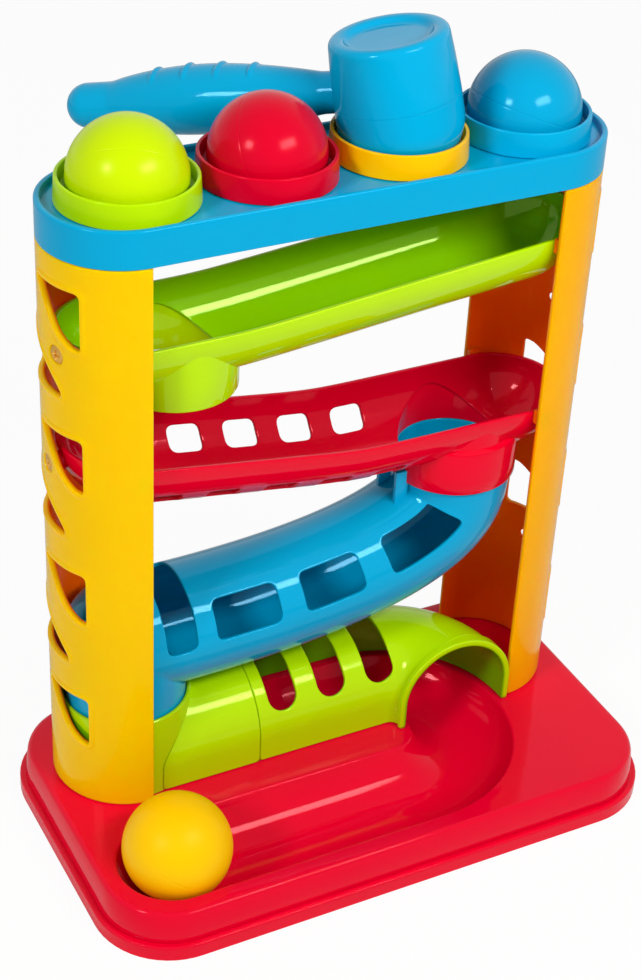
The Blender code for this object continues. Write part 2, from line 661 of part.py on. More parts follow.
# The curved tube
def tube_path(steps):
    """Centre points of the tube: down from its neck, one sweep to the left, then level."""
    neck_top = MIDDLE_SPOUT_END + SOCKET_DEPTH - SEAT_GAP
    start = np.array([DROP_X, neck_top - TUBE_NECK_STRAIGHT])
    end = np.array([-DROP_X, TUBE_AXIS_LOW])
    pull_down = start - np.array([0.0, TUBE_BEND_SHARE * (start[1] - end[1])])
    pull_level = np.array([end[0] + TUBE_LEVEL_SHARE * (start[0] - end[0]), TUBE_AXIS_LOW])
    t = np.linspace(0.0, 1.0, steps + 1)[:, None]
    sweep = ((1 - t) ** 3 * start + 3 * (1 - t) ** 2 * t * pull_down
             + 3 * (1 - t) * t ** 2 * pull_level + t ** 3 * end)
    neck = np.array([[DROP_X, neck_top]])
    level = np.array([[-END_CENTRE_X, TUBE_AXIS_LOW]])
    return np.vstack([neck, sweep, level])


def path_frames(path):
    """Unit directions along a path in the XZ plane, and the upward normals to them."""
    run = np.gradient(path, axis=0)
    run /= np.linalg.norm(run, axis=1)[:, None]
    return run, np.stack([run[:, 1], -run[:, 0]], axis=1)


def tube_sweep(name, radius, extend):
    path = tube_path(TUBE_STEPS)
    path[0, 1] += extend
    run, lift = path_frames(path)
    turn = angles(0.0, 2 * math.pi, ROUND_SIDES)[:-1]
    loops = []
    for centre, up in zip(path, lift):
        loops.append([(centre[0] + radius * math.cos(a) * up[0], -radius * math.sin(a),
                       centre[1] + radius * math.cos(a) * up[1]) for a in turn])
    return skin(name, loops)


def tube_end(name, radius, extend):
    """The closed left end: a dome over an upright stub that points into the tunnel's collar."""
    stub_end = COLLAR_RIM_HEIGHT - TUBE_SPOUT_DEPTH - extend
    dome = [(radius * math.cos(a), TUBE_AXIS_LOW + radius * math.sin(a))
            for a in angles(0.0, CAP_TURN, CAP_STEPS)]
    return upright_round(name, [(radius, stub_end)] + dome, -END_CENTRE_X)


def tube_place(s, angle, radius):
    """A point from the share along the path, the angle from its top and the radius."""
    path = tube_path(TUBE_STEPS)
    run, lift = path_frames(path)
    length = np.concatenate([[0.0], np.cumsum(np.linalg.norm(np.diff(path, axis=0), axis=1))])
    x, z = (np.interp(s, length, path[:, axis]) for axis in (0, 1))
    ux, uz = (np.interp(s, length, lift[:, axis]) for axis in (0, 1))
    return (x + radius * math.cos(angle) * ux, -radius * math.sin(angle), z + radius * math.cos(angle) * uz)


def level_place(x, angle, radius):
    return (x, -radius * math.sin(angle), TUBE_AXIS_LOW + radius * math.cos(angle))


def path_share(x):
    """Distance along the tube's path at which its centre passes x."""
    path = tube_path(TUBE_STEPS)
    length = np.concatenate([[0.0], np.cumsum(np.linalg.norm(np.diff(path, axis=0), axis=1))])
    return float(np.interp(-x, -path[:, 0], length))


def make_tube():
    outer = TUBE_INNER + TUBE_WALL
    tube = tube_sweep("tube", outer, 0.0)
    combine(tube, tube_end("dome", outer, 0.0), "UNION")
    combine(tube, tube_sweep("hollow", TUBE_INNER, OVERRUN))
    combine(tube, tube_end("dome_hollow", TUBE_INNER, OVERRUN))
    windows = [(path_share(right), path_share(left)) for left, right in TUBE_WINDOWS_X] + [TUBE_BEND_WINDOW]
    for start, end in windows:
        combine(tube, rounded_window("window", tube_place, (start + end) / 2, end - start, TUBE_WINDOW_CORNER,
                                     TUBE_WINDOW_LOW, TUBE_WINDOW_HIGH, outer, TUBE_WALL))
    left, right = SADDLE_WINDOW_X
    combine(tube, rounded_window("saddle", level_place, (left + right) / 2, right - left, TUBE_WINDOW_CORNER,
                                 SADDLE_WINDOW_LOW, SADDLE_WINDOW_HIGH, outer, TUBE_WALL))
    return finish(tube, "tube_curved", "blue")


def make_screw(name, height, angle):
    """A screw: a low head in the post's sink and a shank that ends in the trough's boss."""
    shank = HOLE_RADIUS - SEAT_GAP
    start = SCREW_START + SEAT_GAP
    neck = END_RADIUS - HOLE_SINK_DEPTH + SEAT_GAP
    head = HOLE_SINK_RADIUS - SEAT_GAP
    crown = neck + HOLE_SINK_DEPTH
    screw = radial_round(name, post_place(-1), height, angle,
                       [(shank, start), (shank, neck), (head, neck), (head * SCREW_CROWN_SHARE, crown)])
    return finish(screw, name, "orange")


# The tunnel on the base
def tunnel_path():
    """Plan points of the tunnel and of the first turn, with the heading at each."""
    points = [(-END_CENTRE_X, 0.0, 0.0), (TUNNEL_TURN_X, 0.0, 0.0)]
    for turn in angles(0.0, math.pi / 2, TURN_STEPS)[1:]:
        points.append((TUNNEL_TURN_X + TUNNEL_TURN_RADIUS * math.sin(turn),
                       -TUNNEL_TURN_RADIUS + TUNNEL_TURN_RADIUS * math.cos(turn), -turn))
    x, y, heading = points[-1]
    points.append((x, y - TUNNEL_MOUTH_RUN, heading))
    return points


def arch_loop(x, y, heading, radius, bottom, centre_z):
    """A U-shaped section, upside down, standing across the path."""
    side = (math.sin(heading), -math.cos(heading))
    turn = angles(math.pi / 2, -math.pi / 2, HALF_SIDES)
    loop = [(x + side[0] * radius * math.sin(a), y + side[1] * radius * math.sin(a),
             centre_z + radius * math.cos(a)) for a in turn]
    ends = [(-1.0, bottom), (1.0, bottom)]
    return loop + [(x + side[0] * radius * s, y + side[1] * radius * s, z) for s, z in ends]


def arch_body(name, stations, radius, bottom):
    return skin(name, [arch_loop(x, y, heading, radius, bottom, TUNNEL_CENTRE_Z)
                       for x, y, heading in stations])


def make_tunnel_collar():
    """The left section: a straight arch that ends in the collar under the tube's spout."""
    outer = TUNNEL_INNER + TUNNEL_WALL + TUNNEL_STEP
    bottom = PLATEAU_HEIGHT + SEAT_GAP
    socket = TUBE_INNER + TUBE_WALL + SEAT_GAP
    collar = socket + COLLAR_WALL
    shoulder = COLLAR_RIM_HEIGHT - TUBE_SPOUT_DEPTH - SEAT_GAP
    seam = TUNNEL_SEAM_X - SEAT_GAP / 2
    section = arch_body("section", [(-END_CENTRE_X, 0.0, 0.0), (seam, 0.0, 0.0)], outer, bottom)
    combine(section, upright_round("collar", [(collar, bottom), (collar, COLLAR_RIM_HEIGHT)], -END_CENTRE_X),
            "UNION")
    combine(section, arch_body("hollow", [(-END_CENTRE_X, 0.0, 0.0), (seam + OVERRUN, 0.0, 0.0)],
                               TUNNEL_INNER, bottom - OVERRUN))
    combine(section, upright_round("drop", [(TUNNEL_INNER, bottom - OVERRUN), (TUNNEL_INNER, shoulder - OVERRUN),
                                            (TUBE_INNER, shoulder - OVERRUN), (TUBE_INNER, shoulder),
                                            (socket, shoulder), (socket, COLLAR_RIM_HEIGHT + OVERRUN)],
                                   -END_CENTRE_X))
    return finish(section, "tunnel_collar", "lime")


def make_tunnel_elbow():
    """The right section: three slots over its crown, then a quarter turn to the front arch."""
    outer = TUNNEL_INNER + TUNNEL_WALL
    bottom = PLATEAU_HEIGHT + SEAT_GAP
    path = tunnel_path()
    seam = TUNNEL_SEAM_X + SEAT_GAP / 2
    section = arch_body("section", [(seam, 0.0, 0.0)] + path[1:], outer, bottom)
    x, y, heading = path[-1]
    combine(section, arch_body("rim", [(x, y + TUNNEL_RIM_LENGTH, heading), (x, y, heading)],
                               outer + TUNNEL_RIM_RISE, bottom), "UNION")
    hollow = [(seam - OVERRUN, 0.0, 0.0)] + path[1:] + [(x, y - OVERRUN, heading)]
    combine(section, arch_body("hollow", hollow, TUNNEL_INNER, bottom - OVERRUN))
    for index in range(TUNNEL_SLOT_COUNT):
        centre = TUNNEL_SLOT_FIRST_X + index * TUNNEL_SLOT_PITCH
        combine(section, rounded_window("slot", tunnel_place, centre, TUNNEL_SLOT_WIDTH,
                                        TUNNEL_SLOT_END_SHARE * TUNNEL_SLOT_WIDTH,
                                        -TUNNEL_SLOT_ANGLE, TUNNEL_SLOT_ANGLE, outer, TUNNEL_WALL))
    return finish(section, "tunnel_elbow", "lime")


def tunnel_place(x, angle, radius):
    return (x, -radius * math.sin(angle), TUNNEL_CENTRE_Z + radius * math.cos(angle))


# The base
def rounded_box_loop(inset, height):
    corner = max(BASE_CORNER - inset, BASE_WALL)
    half = (BASE_HALF_LENGTH - inset - corner, BASE_HALF_WIDTH - inset - corner)
    loop = []
    for quarter, (sx, sy) in enumerate(((1, 1), (-1, 1), (-1, -1), (1, -1))):
        for a in angles(0.0, math.pi / 2, CORNER_STEPS) + quarter * math.pi / 2:
            loop.append((sx * half[0] + corner * math.cos(a),
                         BASE_CENTRE_Y + sy * half[1] + corner * math.sin(a), height))
    return loop


def channel_path():
    """Plan points and headings of the ball channel: under the tunnel, round, and back."""
    points = tunnel_path()[:-1]
    centre_x = TUNNEL_TURN_X - FRONT_TURN_SHIFT
    for turn in angles(math.pi / 2, math.pi, TURN_STEPS)[1:]:
        points.append((centre_x + FRONT_TURN_RADIUS * math.sin(turn),
                       -TUNNEL_TURN_RADIUS + FRONT_TURN_RADIUS * math.cos(turn), -turn))
    points.append((CHANNEL_END_X, points[-1][1], -math.pi))
    return points


def channel_body(name, radius):
    """A half-round bar along the channel, its centre line falling evenly from start to end."""
    points = channel_path()
    top = PLATEAU_HEIGHT + CHANNEL_RADIUS
    plan = np.array([point[:2] for point in points])
    travel = np.concatenate([[0.0], np.cumsum(np.linalg.norm(np.diff(plan, axis=0), axis=1))])
    fall = (CHANNEL_START_FLOOR - CHANNEL_END_FLOOR) * travel / travel[-1]
    levels = CHANNEL_START_FLOOR + CHANNEL_RADIUS - fall
    loops = []
    cap = angles(CAP_TURN, 0.0, CAP_STEPS - 1)[:-1]
    for a in cap:
        x, y, heading = points[0]
        loops.append(channel_loop(x - radius * math.sin(a), y, heading, radius * math.cos(a), levels[0], top))
    for (x, y, heading), level in zip(points, levels):
        loops.append(channel_loop(x, y, heading, radius, level, top))
    for a in cap[::-1]:
        x, y, heading = points[-1]
        loops.append(channel_loop(x - radius * math.sin(a), y, heading, radius * math.cos(a), levels[-1], top))
    return skin(name, loops)


def channel_loop(x, y, heading, radius, level, top):
    side = (math.sin(heading), -math.cos(heading))
    turn = angles(math.pi / 2, -math.pi / 2, HALF_SIDES)
    loop = [(x + side[0] * radius * math.sin(a), y + side[1] * radius * math.sin(a),
             level - radius * math.cos(a)) for a in turn]
    return loop + [(x + side[0] * radius * s, y + side[1] * radius * s, top) for s in (-1.0, 1.0)]


def make_base():
    """A two-step tray, hollow below, with the ball channel hung in it and ribs under that."""
    step = FLANGE_WIDTH
    base = skin("base", [
        rounded_box_loop(0.0, 0.0), rounded_box_loop(0.0, FLANGE_HEIGHT - FLANGE_EDGE),
        rounded_box_loop(FLANGE_EDGE, FLANGE_HEIGHT), rounded_box_loop(step, FLANGE_HEIGHT),
        rounded_box_loop(step + PLATEAU_DRAFT, PLATEAU_HEIGHT - PLATEAU_EDGE),
        rounded_box_loop(step + PLATEAU_DRAFT + PLATEAU_EDGE / 3, PLATEAU_HEIGHT - PLATEAU_EDGE / 3),
        rounded_box_loop(step + PLATEAU_DRAFT + PLATEAU_EDGE, PLATEAU_HEIGHT)])
    cavity = skin("cavity", [
        rounded_box_loop(BASE_WALL, -OVERRUN), rounded_box_loop(BASE_WALL, FLANGE_HEIGHT - BASE_WALL),
        rounded_box_loop(step + BASE_WALL, FLANGE_HEIGHT - BASE_WALL),
        rounded_box_loop(step + PLATEAU_DRAFT + BASE_WALL, PLATEAU_HEIGHT - BASE_WALL)])
    combine(cavity, channel_body("channel_wall", CHANNEL_RADIUS + CHANNEL_WALL))
    half = RIB_WALL / 2
    combine(cavity, block("long_rib", (-END_CENTRE_X, -half, 0.0), (END_CENTRE_X, half, PLATEAU_HEIGHT)))
    combine(cavity, block("cross_rib", (-half, BASE_CENTRE_Y - BASE_HALF_WIDTH, 0.0),
                          (half, BASE_CENTRE_Y + BASE_HALF_WIDTH, PLATEAU_HEIGHT)))
    combine(cavity, upright_round("boss", [(CENTRE_BOSS_RADIUS, 0.0), (CENTRE_BOSS_RADIUS, PLATEAU_HEIGHT)], 0.0))
    combine(base, cavity)
    combine(base, channel_body("channel", CHANNEL_RADIUS))
    for side in (-1, 1):
        combine(base, foot_slot(side))
    return finish(base, "base_tray", "red")


def foot_slot(side):
    """The curved slot in the plateau that a post's foot snaps into."""
    middle = END_RADIUS - POST_WALL / 2
    half = POST_FOOT_WALL / 2 + SEAT_GAP
    return skin("slot", [post_loop(side, middle + half, middle - half, height)
                         for height in (PLATEAU_HEIGHT - POST_FOOT_DROP - OVERRUN, PLATEAU_HEIGHT + OVERRUN)])


# The hammer
def hammer_frame():
    """Where the hammer stands in its ring: face centre, head axis and handle direction."""
    turn, lean = HAMMER_TURN, HAMMER_LEAN
    axis = Vector((math.cos(turn) * math.sin(lean), math.sin(turn) * math.sin(lean), math.cos(lean)))
    handle = Vector((math.cos(turn) * math.cos(lean), math.sin(turn) * math.cos(lean), -math.sin(lean)))
    shoulder = DECK_FLOOR + RING_TOP_RISE - RING_SHOULDER_DROP
    height = shoulder - HAMMER_SINK
    ring_x = RING_X[RING_COLOURS.index("orange")]
    face = Vector((ring_x - HAMMER_SHIFT * math.cos(turn), -HAMMER_SHIFT * math.sin(turn), height))
    return face, axis, handle


def leaning_round(name, origin, axis, profile, sides=ROUND_SIDES, ring=False):
    """A turned piece about any axis, from (radius, distance along the axis) pairs."""
    across = axis.cross(Vector((0.0, 1.0, 0.0))).normalized()
    third = axis.cross(across)
    loops = [[origin + axis * along + (across * math.cos(a) + third * math.sin(a)) * radius
              for a in angles(0.0, 2 * math.pi, sides)[:-1]] for radius, along in profile]
    return skin(name, loops, ring)


def make_hammer_face():
    """The lower cap of the head: the striking face and a spigot that plugs into the barrel."""
    face, axis, _ = hammer_frame()
    seam = HAMMER_SEAM_HEIGHT
    spigot = HAMMER_WAIST_RADIUS - HAMMER_WALL - SEAT_GAP
    inner = spigot - HAMMER_WALL
    cap = leaning_round("cap", face, axis, [
        (HAMMER_FACE_RADIUS - HAMMER_EDGE, 0.0), (HAMMER_FACE_RADIUS, HAMMER_EDGE),
        (HAMMER_WAIST_RADIUS, seam), (spigot, seam), (spigot, seam + HAMMER_SPIGOT)])
    combine(cap, leaning_round("hollow", face, axis, [(inner, HAMMER_WALL), (inner, seam + OVERRUN * 2)]))
    combine(cap, handle_socket())
    return finish(cap, "hammer_face", "blue")


def handle_socket():
    """The round way for the handle's neck through the side of the head."""
    face, axis, handle = hammer_frame()
    return leaning_round("socket", face + axis * HANDLE_HEIGHT, handle,
                         [(HANDLE_NECK_RADIUS + SEAT_GAP, HAMMER_FACE_RADIUS / 2),
                          (HANDLE_NECK_RADIUS + SEAT_GAP, HAMMER_WAIST_RADIUS + OVERRUN)], GRIP_SIDES)


def make_hammer_head():
    """The barrel of the head: open below, with a dished top and a socket for the handle."""
    face, axis, _ = hammer_frame()
    seam = HAMMER_SEAM_HEIGHT + SEAT_GAP
    top = HAMMER_HEAD_LENGTH
    barrel = leaning_round("barrel", face, axis, [
        (HAMMER_WAIST_RADIUS, seam), (HAMMER_TOP_RADIUS, top - HAMMER_EDGE),
        (HAMMER_TOP_RADIUS - HAMMER_EDGE * HAMMER_EDGE_SHARE, top - HAMMER_EDGE * HAMMER_EDGE_SHARE),
        (HAMMER_TOP_RADIUS - HAMMER_EDGE, top), (HAMMER_DISH_RADIUS, top),
        (HAMMER_DISH_RADIUS * HAMMER_DISH_FLOOR_SHARE, top - HAMMER_DISH_DEPTH)])
    combine(barrel, leaning_round("hollow", face, axis, [
        (HAMMER_WAIST_RADIUS - HAMMER_WALL, seam - OVERRUN),
        (HAMMER_WAIST_RADIUS - HAMMER_WALL, seam + HAMMER_SPIGOT),
        (HAMMER_DISH_RADIUS + HAMMER_WALL, top - HAMMER_DISH_DEPTH - HAMMER_WALL)]))
    combine(barrel, handle_socket())
    return finish(barrel, "hammer_head", "blue")


def handle_profile():
    """Radius along the handle: a neck, a long swell for the hand and a round knob."""
    swell_start = HAMMER_WAIST_RADIUS + HANDLE_RIB_RADIUS * 3
    knob_start = HANDLE_LENGTH - HANDLE_KNOB_SHARE * HANDLE_KNOB_RADIUS
    knob_centre = HANDLE_LENGTH - HANDLE_KNOB_RADIUS
    profile = [(HANDLE_NECK_RADIUS, HANDLE_ROOT), (HANDLE_NECK_RADIUS, swell_start)]
    for share in HANDLE_SWELL_SHARES:
        along = swell_start + share * (knob_start - swell_start)
        base = HANDLE_NECK_RADIUS + (HANDLE_KNOB_RADIUS - HANDLE_NECK_RADIUS) * share
        swell = (HANDLE_GRIP_RADIUS - HANDLE_KNOB_RADIUS) * (
            math.sin(math.pi * share ** HANDLE_SWELL_LEAN_SHARE) ** HANDLE_SWELL_FULL_SHARE)
        profile.append((base + swell, along))
    profile.append((HANDLE_KNOB_RADIUS, knob_start))
    for a in angles(0.0, CAP_TURN, CAP_STEPS):
        profile.append((HANDLE_KNOB_RADIUS * math.cos(a), knob_centre + HANDLE_KNOB_RADIUS * math.sin(a)))
    return profile


def make_hammer_handle():
    """A turned grip with four thumb ribs over its upper side."""
    face, axis, handle = hammer_frame()
    origin = face + axis * HANDLE_HEIGHT
    grip = leaning_round("grip", origin, handle, handle_profile(), GRIP_SIDES)
    profile = handle_profile()
    side = handle.cross(axis)
    for index in range(HANDLE_RIB_COUNT):
        along = HANDLE_RIB_START + index * HANDLE_RIB_PITCH
        radius = float(np.interp(along, [p[1] for p in profile], [p[0] for p in profile]))
        loops = []
        for a in angles(-HANDLE_RIB_ANGLE, HANDLE_RIB_ANGLE, RIB_STEPS):
            out = axis * math.cos(a) + side * math.sin(a)
            centre = origin + handle * along + out * (radius + HANDLE_RIB_RISE - HANDLE_RIB_RADIUS / 2)
            loops.append([centre + (out * math.cos(b) + handle * math.sin(b)) * HANDLE_RIB_RADIUS
                          for b in angles(0.0, 2 * math.pi, RIB_SIDES)[:-1]])
        combine(grip, skin("rib", loops), "UNION")
    return finish(grip, "hammer_handle", "blue")


def main():
    clear_scene()
    make_base()
    make_post("post_left", -1)
    make_post("post_right", 1)
    make_deck()
    for colour, x in zip(RING_COLOURS, RING_X):
        make_ring("ring_" + colour, colour, x)
        if colour != "orange":
            make_ball("ball_" + colour, colour, (x, 0.0, BALL_SEAT_HEIGHT))
    make_ball("ball_yellow", "yellow", (CHANNEL_END_X + BALL_REST_SHIFT, FRONT_CHANNEL_Y,
                                        CHANNEL_END_FLOOR + BALL_RADIUS + END_REST_GAP))
    make_top_trough()
    make_middle_trough()
    make_tube()
    make_tunnel_collar()
    make_tunnel_elbow()
    make_hammer_face()
    make_hammer_head()
    make_hammer_handle()
    make_screw("screw_top", TOP_SCREW_HEIGHT, TOP_SCREW_ANGLE)
    make_screw("screw_middle", MIDDLE_SCREW_HEIGHT, MIDDLE_SCREW_ANGLE)


main()
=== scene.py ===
import math

import bmesh
import bpy
import numpy as np
from mathutils import Matrix, Vector
from mathutils.geometry import delaunay_2d_cdt


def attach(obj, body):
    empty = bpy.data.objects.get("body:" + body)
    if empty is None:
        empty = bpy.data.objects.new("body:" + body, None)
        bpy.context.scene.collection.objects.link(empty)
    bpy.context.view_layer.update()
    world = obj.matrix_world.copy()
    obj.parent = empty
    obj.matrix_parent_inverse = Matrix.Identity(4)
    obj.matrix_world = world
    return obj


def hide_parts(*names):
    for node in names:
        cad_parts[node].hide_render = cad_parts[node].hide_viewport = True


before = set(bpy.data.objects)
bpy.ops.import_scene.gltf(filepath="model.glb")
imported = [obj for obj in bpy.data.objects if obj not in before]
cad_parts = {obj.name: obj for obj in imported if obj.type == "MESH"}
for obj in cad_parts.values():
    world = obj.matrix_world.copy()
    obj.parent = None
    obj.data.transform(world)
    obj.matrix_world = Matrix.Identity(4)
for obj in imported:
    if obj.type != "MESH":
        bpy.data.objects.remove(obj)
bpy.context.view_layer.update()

# The base tray: one red moulding with a low flange, a raised plateau and the ball's
# channel sunk into it. It is an injection moulding, hollow below, with ribs under the
# channel and a screw boss in the middle.
class Wire:
    """A node's socket that can stand in a sum: each operator adds the Math node for it."""

    def __init__(self, bench, socket):
        self.bench, self.socket = bench, socket

    def maths(self, operation, first, second):
        return self.bench.node("Math", {"operation": operation}, {0: first, 1: second})

    def at_least(self, least):
        return self.maths("MAXIMUM", self, least)


for word, operation in (("add", "ADD"), ("sub", "SUBTRACT"), ("mul", "MULTIPLY"), ("truediv", "DIVIDE"),
                        ("pow", "POWER")):
    def plain(self, other, operation=operation):
        return self.maths(operation, self, other)

    def swapped(self, other, operation=operation):
        return self.maths(operation, other, self)

    setattr(Wire, "__" + word + "__", plain)
    setattr(Wire, "__r" + word + "__", swapped)


class Bench:
    """The node tree of a finish or of the world; node() is the one way to add to it."""

    def __init__(self, holder):
        holder.use_nodes = True
        self.holder, self.tree = holder, holder.node_tree
        self.tree.nodes.clear()

    def node(self, kind, settings, values, output=0):
        made = self.tree.nodes.new("ShaderNode" + kind)
        for key, value in settings.items():
            setattr(made, key, value)
        for key, value in values.items():
            if isinstance(value, Wire):
                self.tree.links.new(value.socket, made.inputs[key])
            elif made.inputs[key].type == "RGBA":
                made.inputs[key].default_value = (*value, 1.0)
            else:
                made.inputs[key].default_value = value
        return Wire(self, made.outputs[output]) if len(made.outputs) else None

    def noise(self, place, scale, detail, roughness=0.5, distortion=0.0):
        return self.node("TexNoise", {}, {"Vector": place, "Scale": scale, "Detail": detail,
                                          "Roughness": roughness, "Distortion": distortion})

    def stretched(self, place, scales):
        return self.node("VectorMath", {"operation": "MULTIPLY"}, {0: place, 1: scales})

    def mix(self, share, first, second):
        return self.node("Mix", {"data_type": "RGBA"}, {0: share, 6: first, 7: second}, 2)

    def ramp(self, value, black, white):
        made = self.node("ValToRGB", {}, {"Fac": value})
        low, high = made.socket.node.color_ramp.elements
        low.position, high.position = black, white
        return made


def moulded_plastic(name, colour, polish, peel=0.05, gloss=0.34, hollow=None, painted_shade=None, bleed=0.0):
    """Glossy pigmented plastic. The pigment drifts by a few percent over centimetres, the
    polish wanders over millimetres and shows fine rubbed hairlines, and the mould leaves a
    faint orange peel. Hollow() gives the distance from a hollow's middle line and the two
    distances between which a painted shade colour takes over: the inner side of a hollow is
    painted darker and deeper in colour, standing in for its shadow and for the light bounced
    between its walls. Bleed is the share of light that wanders through the wall."""
    bench = Bench(bpy.data.materials.new(name))
    place = bench.node("TexCoord", {}, {}, "Object")
    drift = bench.noise(place, 22.0, 3.0, 0.55)
    cloud = bench.noise(place, 140.0, 2.0)
    grain = bench.noise(place, 1400.0, 2.0, 0.6)
    hairs = bench.ramp(bench.noise(bench.stretched(place, (55.0, 55.0, 900.0)), 1.0, 3.0, 0.7), 0.62, 0.74)
    worn = bench.ramp(bench.noise(place, 9.0, 1.0, distortion=1.5), 0.42, 0.68)
    rubbed = hairs * worn
    dark, pale = (tuple(min(channel * share, 1.0) for channel in colour) for share in (0.93, 1.03))
    tone_and_shade = bench.mix(drift * 0.8 + cloud * 0.3 - 0.05, dark, pale)
    if hollow:
        axes = [bench.node("SeparateXYZ", {}, {"Vector": place}, axis) for axis in range(3)]
        away, start, full = hollow(*axes)
        # Painted shade: the inner side of a hollow is mixed towards a darker, deeper colour.
        shade_share = bench.node("MapRange", {}, {"Value": away, "From Min": start, "From Max": full})
        tone_and_shade = bench.mix(shade_share, tone_and_shade, painted_shade)
    rough = polish + (cloud - 0.5) * 0.05 + rubbed * 0.10 + (grain - 0.5) * 0.03
    height = cloud * 0.6 + grain * 0.25 - rubbed * 0.3
    relief = bench.node("Bump", {}, {"Strength": peel, "Distance": 0.0004, "Height": height})
    tint = tuple(0.28 + 0.72 * channel / max(colour) for channel in colour)
    surface = bench.node("BsdfPrincipled", {}, {
        "Base Color": tone_and_shade, "Roughness": rough, "Normal": relief, "IOR": 1.5,
        "Specular IOR Level": gloss, "Specular Tint": tint, "Subsurface Weight": bleed,
        "Subsurface Radius": (1.0, 0.25, 0.02), "Subsurface Scale": 0.004})
    bench.node("OutputMaterial", {}, {"Surface": surface})
    return bench.holder


def grid(points, round_rows=False, round_columns=False):
    """The quads of a net of points [row, column], each joined to the next row and column."""
    rows, columns = points.shape[:2]
    row = np.arange(rows if round_rows else rows - 1)[:, None]
    column = np.arange(columns if round_columns else columns - 1)[None, :]
    after, beside = (row + 1) % rows, (column + 1) % columns
    quads = np.stack([row * columns + column, row * columns + beside,
                      after * columns + beside, after * columns + column], axis=-1)
    return points.reshape(-1, 3), [quads.reshape(-1, 4)]


def looped(rows):
    """A net that closes both ways, like a tyre's skin."""
    return grid(np.stack(rows), round_rows=True, round_columns=True)


def capped(rows):
    """A tube of loops that close, filled at its two ends."""
    flat, faces = grid(np.stack(rows), round_columns=True)
    ends = np.arange(len(rows[0]))
    return flat, faces + [ends[::-1][None], (ends + len(flat) - len(ends))[None]]


def hand_over(name, shells, finish, body, slot, *nodes):
    """Joins the shells in one mesh, merges the points that coincide, turns the faces
    outwards and gives the piece to the body it rides on. Edges over 38 degrees are sharp."""
    points, faces, start = [], [], 0
    for shell_points, patches in shells:
        points.append(shell_points)
        faces += [(patch + start).tolist() for patch in patches]
        start += len(shell_points)
    mesh = bpy.data.meshes.new(name)
    mesh.from_pydata(np.vstack(points), [], [face for patch in faces for face in patch])
    work = bmesh.new()
    work.from_mesh(mesh)
    bmesh.ops.remove_doubles(work, verts=work.verts, dist=0.000004)
    bmesh.ops.dissolve_degenerate(work, edges=work.edges, dist=0.000002)
    bmesh.ops.recalc_face_normals(work, faces=work.faces)
    work.to_mesh(mesh)
    work.free()
    mesh.shade_smooth()
    mesh.set_sharp_from_angle(angle=math.radians(38.0))
    mesh.materials.append(finish)
    piece = bpy.data.objects.new(name, mesh)
    bpy.context.collection.objects.link(piece)
    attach(piece, body)
    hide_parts(*nodes)


def full_turn(sides):
    return np.linspace(0.0, 2 * math.pi, sides + 1)[:-1]


def arc(radius, turn, centre=(0.0, 0.0)):
    return np.column_stack([centre[0] + radius * np.cos(turn), centre[1] + radius * np.sin(turn)])


def circle(radius, sides, centre=(0.0, 0.0)):
    return arc(radius, full_turn(sides), centre)


def unit(ways):
    return ways / np.linalg.norm(ways, axis=-1, keepdims=True)


def travelled(points):
    """The length of the way from the first point to each."""
    return np.concatenate([[0.0], np.cumsum(np.linalg.norm(np.diff(points, axis=0), axis=1))])


def limited(value):
    return np.clip(value, 0.0, 1.0)


def smooth(value):
    """Rises from 0 to 1 with a soft start and a soft end."""
    return limited(value) ** 2 * (3 - 2 * limited(value))


def box(low_x, high_x, low_y, high_y):
    return [(low_x, low_y), (high_x, low_y), (high_x, high_y), (low_x, high_y)]


def at_height(plan, height):
    return np.column_stack([plan, np.broadcast_to(height, len(plan))])


def eased(corners, radii, pitch):
    """A closed outline through the corners. Each corner is a quadratic curve that starts
    and ends one radius away from it, and straight runs get a point every pitch."""
    corners = np.asarray(corners, float)
    radii = np.broadcast_to(np.asarray(radii, float), len(corners))
    before, after = np.roll(corners, 1, axis=0) - corners, np.roll(corners, -1, axis=0) - corners
    start, end = corners + unit(before) * radii[:, None], corners + unit(after) * radii[:, None]
    t = np.linspace(0.0, 1.0, 7)[:, None]
    parts = []
    for k, corner in enumerate(corners):
        bow = (1 - t) ** 2 * start[k] + 2 * t * (1 - t) * corner + t ** 2 * end[k]
        parts.append(bow if radii[k] > 0 else corner[None])
        target = start[(k + 1) % len(corners)]
        steps = max(1, round(np.linalg.norm(target - end[k]) / pitch))
        share = np.arange(1, steps)[:, None] / steps
        parts.append(end[k] + share * (target - end[k]))
    return np.vstack(parts)


def inside(points, loop):
    """True where a ray from the point crosses the loop an odd number of times."""
    x, y = points[:, :1], points[:, 1:]
    near, far = loop, np.roll(loop, -1, axis=0)
    crosses = (near[:, 1] > y) != (far[:, 1] > y)
    rise = np.where(far[:, 1] == near[:, 1], 1.0, far[:, 1] - near[:, 1])
    at = near[:, 0] + (y - near[:, 1]) / rise * (far[:, 0] - near[:, 0])
    return (crosses & (x < at)).sum(axis=1) % 2 == 1


def meshed(outline, holes, spots):
    """Delaunay triangles over the outline, the holes and the loose spots between them."""
    loops = [outline] + list(holes)
    edges, start = [], 0
    for loop in loops:
        ring = start + np.arange(len(loop))
        edges += np.stack([ring, np.roll(ring, -1)], axis=1).tolist()
        start += len(loop)
    points = np.vstack(loops + [spots]) * 1000.0
    flat, _, faces, *_ = delaunay_2d_cdt([Vector(p) for p in points], edges, [], 0, 0.0001)
    flat, faces = np.array([tuple(p) for p in flat]) / 1000.0, np.array(faces)
    middle = flat[faces].mean(axis=1)
    keep = inside(middle, outline)
    for hole in holes:
        keep &= ~inside(middle, hole)
    return flat, faces[keep]


tray_half, tray_width, tray_y, tray_corner = 0.1275, 0.0735, -0.0270, 0.0330
plateau, tray_skin, flange_top, flange_width = 0.0210, 0.0024, 0.0068, 0.0032
channel_radius, channel_wall, channel_start, channel_end = 0.0240, 0.0019, 0.0085, 0.0036
post_x, tunnel_turn_x, turn_one, turn_two, channel_stop_x = 0.0860, 0.0270, 0.0310, 0.0345, -0.0925


